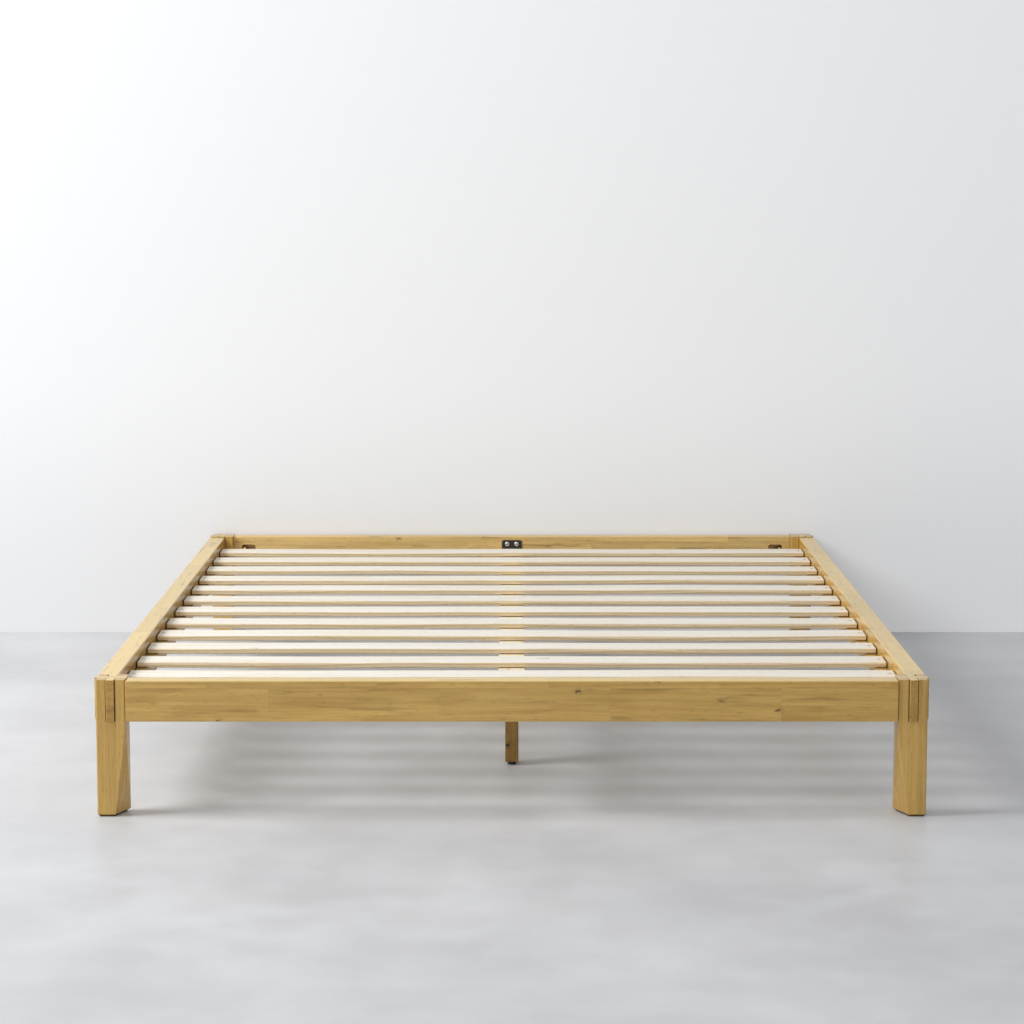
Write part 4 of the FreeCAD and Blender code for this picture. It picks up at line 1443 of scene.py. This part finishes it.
@dataclass
class Studio:
    """A pale concrete floor, a white wall behind the head end, and soft light from the left."""

    floor_half: float = 9.0
    floor_light: Colour = tone(216, 217, 219)
    floor_dark: Colour = tone(196, 197, 200)
    floor_clouds: float = 1.9
    floor_specks: float = 7.0
    cloud_share: float = 0.7
    speck_share: float = 0.3
    floor_roughness: float = 0.38
    speck_roughness: float = 0.10
    floor_specular: float = 0.35
    wall_gap: float = 6.0 * MM
    wall_height: float = 7.0
    wall_tone: Colour = tone(207, 208, 209)
    wall_roughness: float = 0.9
    wall_glow: float = 0.29
    foot_glow: float = 0.20
    glow_rise: float = 0.75
    sky_tone: Colour = tone(244, 246, 250)
    sky_strength: float = 0.43
    seen_strength: float = 0.80
    lamps: tuple[Lamp, ...] = (
        Lamp("key", Vector((-4.4, -1.5, 4.0)), Vector((0.0, 0.0, 0.2)), 2.4, 255.0),
        Lamp("front", Vector((-1.6, -7.4, 3.6)), Vector((0.0, 0.0, 0.6)), 4.0, 95.0))

    def sheet(self, name: str, corners: list[Triple], material: bpy.types.Material) -> None:
        """Add one flat sheet that isn't part of the bed.

        Args:
            name: The sheet's name.
            corners: Its four corners.
            material: Its finish.
        """
        mesh = bpy.data.meshes.new(name)
        mesh.from_pydata(corners, [], [(0, 1, 2, 3)])
        mesh.materials.append(material)
        link(bpy.data.objects.new(name, mesh))

    def clear_back(self, graph: Graph, shader: bpy.types.Node) -> None:
        """Make a sheet clear from behind, so that it hides nothing from there.

        Args:
            graph: The graph of the sheet's material.
            shader: Its main shader, which the front keeps.
        """
        both = graph.node("MixShader")
        for socket, source in zip(both.inputs, (graph.node("NewGeometry").outputs["Backfacing"],
                                                shader.outputs[0],
                                                graph.node("BsdfTransparent").outputs[0])):
            graph.feed(socket, source)
        graph.feed(graph.find("OUTPUT_MATERIAL").inputs["Surface"], both.outputs[0])

    def floor_material(self) -> bpy.types.Material:
        """Smooth pale concrete, slightly clouded.

        Returns:
            The new material.
        """
        material, graph, shader = new_material("pale concrete")
        place = graph.node("TexCoord").outputs["Object"]
        mottle = graph.use(GROUPS.mottle, Place=place, Coarse=self.floor_clouds,
                           Fine=self.floor_specks)
        specks = mottle.outputs["Specks"]
        clouds = graph.math("MULTIPLY", mottle.outputs["Clouds"], self.cloud_share)
        clouds = graph.math("MULTIPLY_ADD", specks, self.speck_share, clouds)
        rough = graph.math("MULTIPLY_ADD", specks, self.speck_roughness, self.floor_roughness)
        graph.fill(shader, Base_Color=graph.mix(clouds, self.floor_dark, self.floor_light),
                   Roughness=rough, Specular_IOR_Level=self.floor_specular)
        self.clear_back(graph, shader)
        return material

    def wall_material(self) -> bpy.types.Material:
        """A white wall whose glow fades to its foot. It is seen and mirrored, but lights nothing.

        Returns:
            The new material.
        """
        material, graph, shader = new_material("white wall")
        path = graph.node("LightPath").outputs
        seen = graph.math("MAXIMUM", path["Is Camera Ray"], path["Is Glossy Ray"])
        height = graph.split(graph.node("TexCoord").outputs["Object"])[2]
        glow = graph.step(height, 0.0, self.glow_rise, self.foot_glow, self.wall_glow)
        graph.fill(shader, Base_Color=self.wall_tone, Roughness=self.wall_roughness,
                   Emission_Color=(1.0, 1.0, 1.0, 1.0),
                   Emission_Strength=graph.math("MULTIPLY", seen, glow))
        self.clear_back(graph, shader)
        return material

    def light_sky(self) -> None:
        """Fill light from all round, with a brighter pale sky where it is seen or reflected."""
        world = bpy.data.worlds.new("studio")
        bpy.context.scene.world = world
        world.use_nodes = True
        graph = Graph(world.node_tree)
        path = graph.node("LightPath").outputs
        seen = path["Is Camera Ray"]
        for ray in ("Is Glossy Ray", "Is Transmission Ray"):
            seen = graph.math("MAXIMUM", seen, path[ray])
        strength = graph.math("MULTIPLY_ADD", seen, self.seen_strength - self.sky_strength,
                              self.sky_strength)
        graph.fill(graph.find("BACKGROUND"), Color=self.sky_tone, Strength=strength)

    def build(self) -> None:
        """Make the floor, the wall and the lights."""
        half, wall_y = self.floor_half, CAD_BOX[1].y + self.wall_gap
        self.sheet("studio_floor", [(-half, -half, 0.0), (half, -half, 0.0), (half, half, 0.0),
                                    (-half, half, 0.0)], self.floor_material())
        self.sheet("studio_wall", [(-half, wall_y, 0.0), (half, wall_y, 0.0),
                                   (half, wall_y, self.wall_height),
                                   (-half, wall_y, self.wall_height)], self.wall_material())
        self.light_sky()
        for lamp in self.lamps:
            lamp.build()


@dataclass
class PhotoCamera:
    """The camera at the photograph's place: in front of the foot end, looking a little down."""

    place: Vector = Vector((0.0004, -6.2927, 1.2510))
    pitch: float = 7.140
    lens: float = 96.778
    sensor_width: float = 36.0
    far_limit: float = 60.0

    def build(self) -> None:
        """Make the camera and give it to the scene."""
        data = bpy.data.cameras.new("photo_camera")
        data.lens = self.lens
        data.sensor_width = self.sensor_width
        data.clip_end = self.far_limit
        made = link(bpy.data.objects.new("photo_camera", data))
        made.location = self.place
        made.rotation_euler = (math.radians(90.0 - self.pitch), 0.0, 0.0)
        bpy.context.scene.camera = made


def write_sizes() -> None:
    """Bring the placements of all objects up to date."""
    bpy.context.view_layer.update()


def main() -> None:
    """Build the studio and the dressed bed frame."""
    logging.basicConfig(level=logging.INFO, format="%(name)s: %(message)s")
    bpy.context.scene.view_settings.view_transform = "Standard"
    PhotoCamera().build()
    Studio().build()
    CornerLegs().dress()
    RailFrame().dress()
    SlatBed().build()
    CentreSupport().build()
    CornerHardware().build()
    write_sizes()


if __name__ == "__main__":
    main()
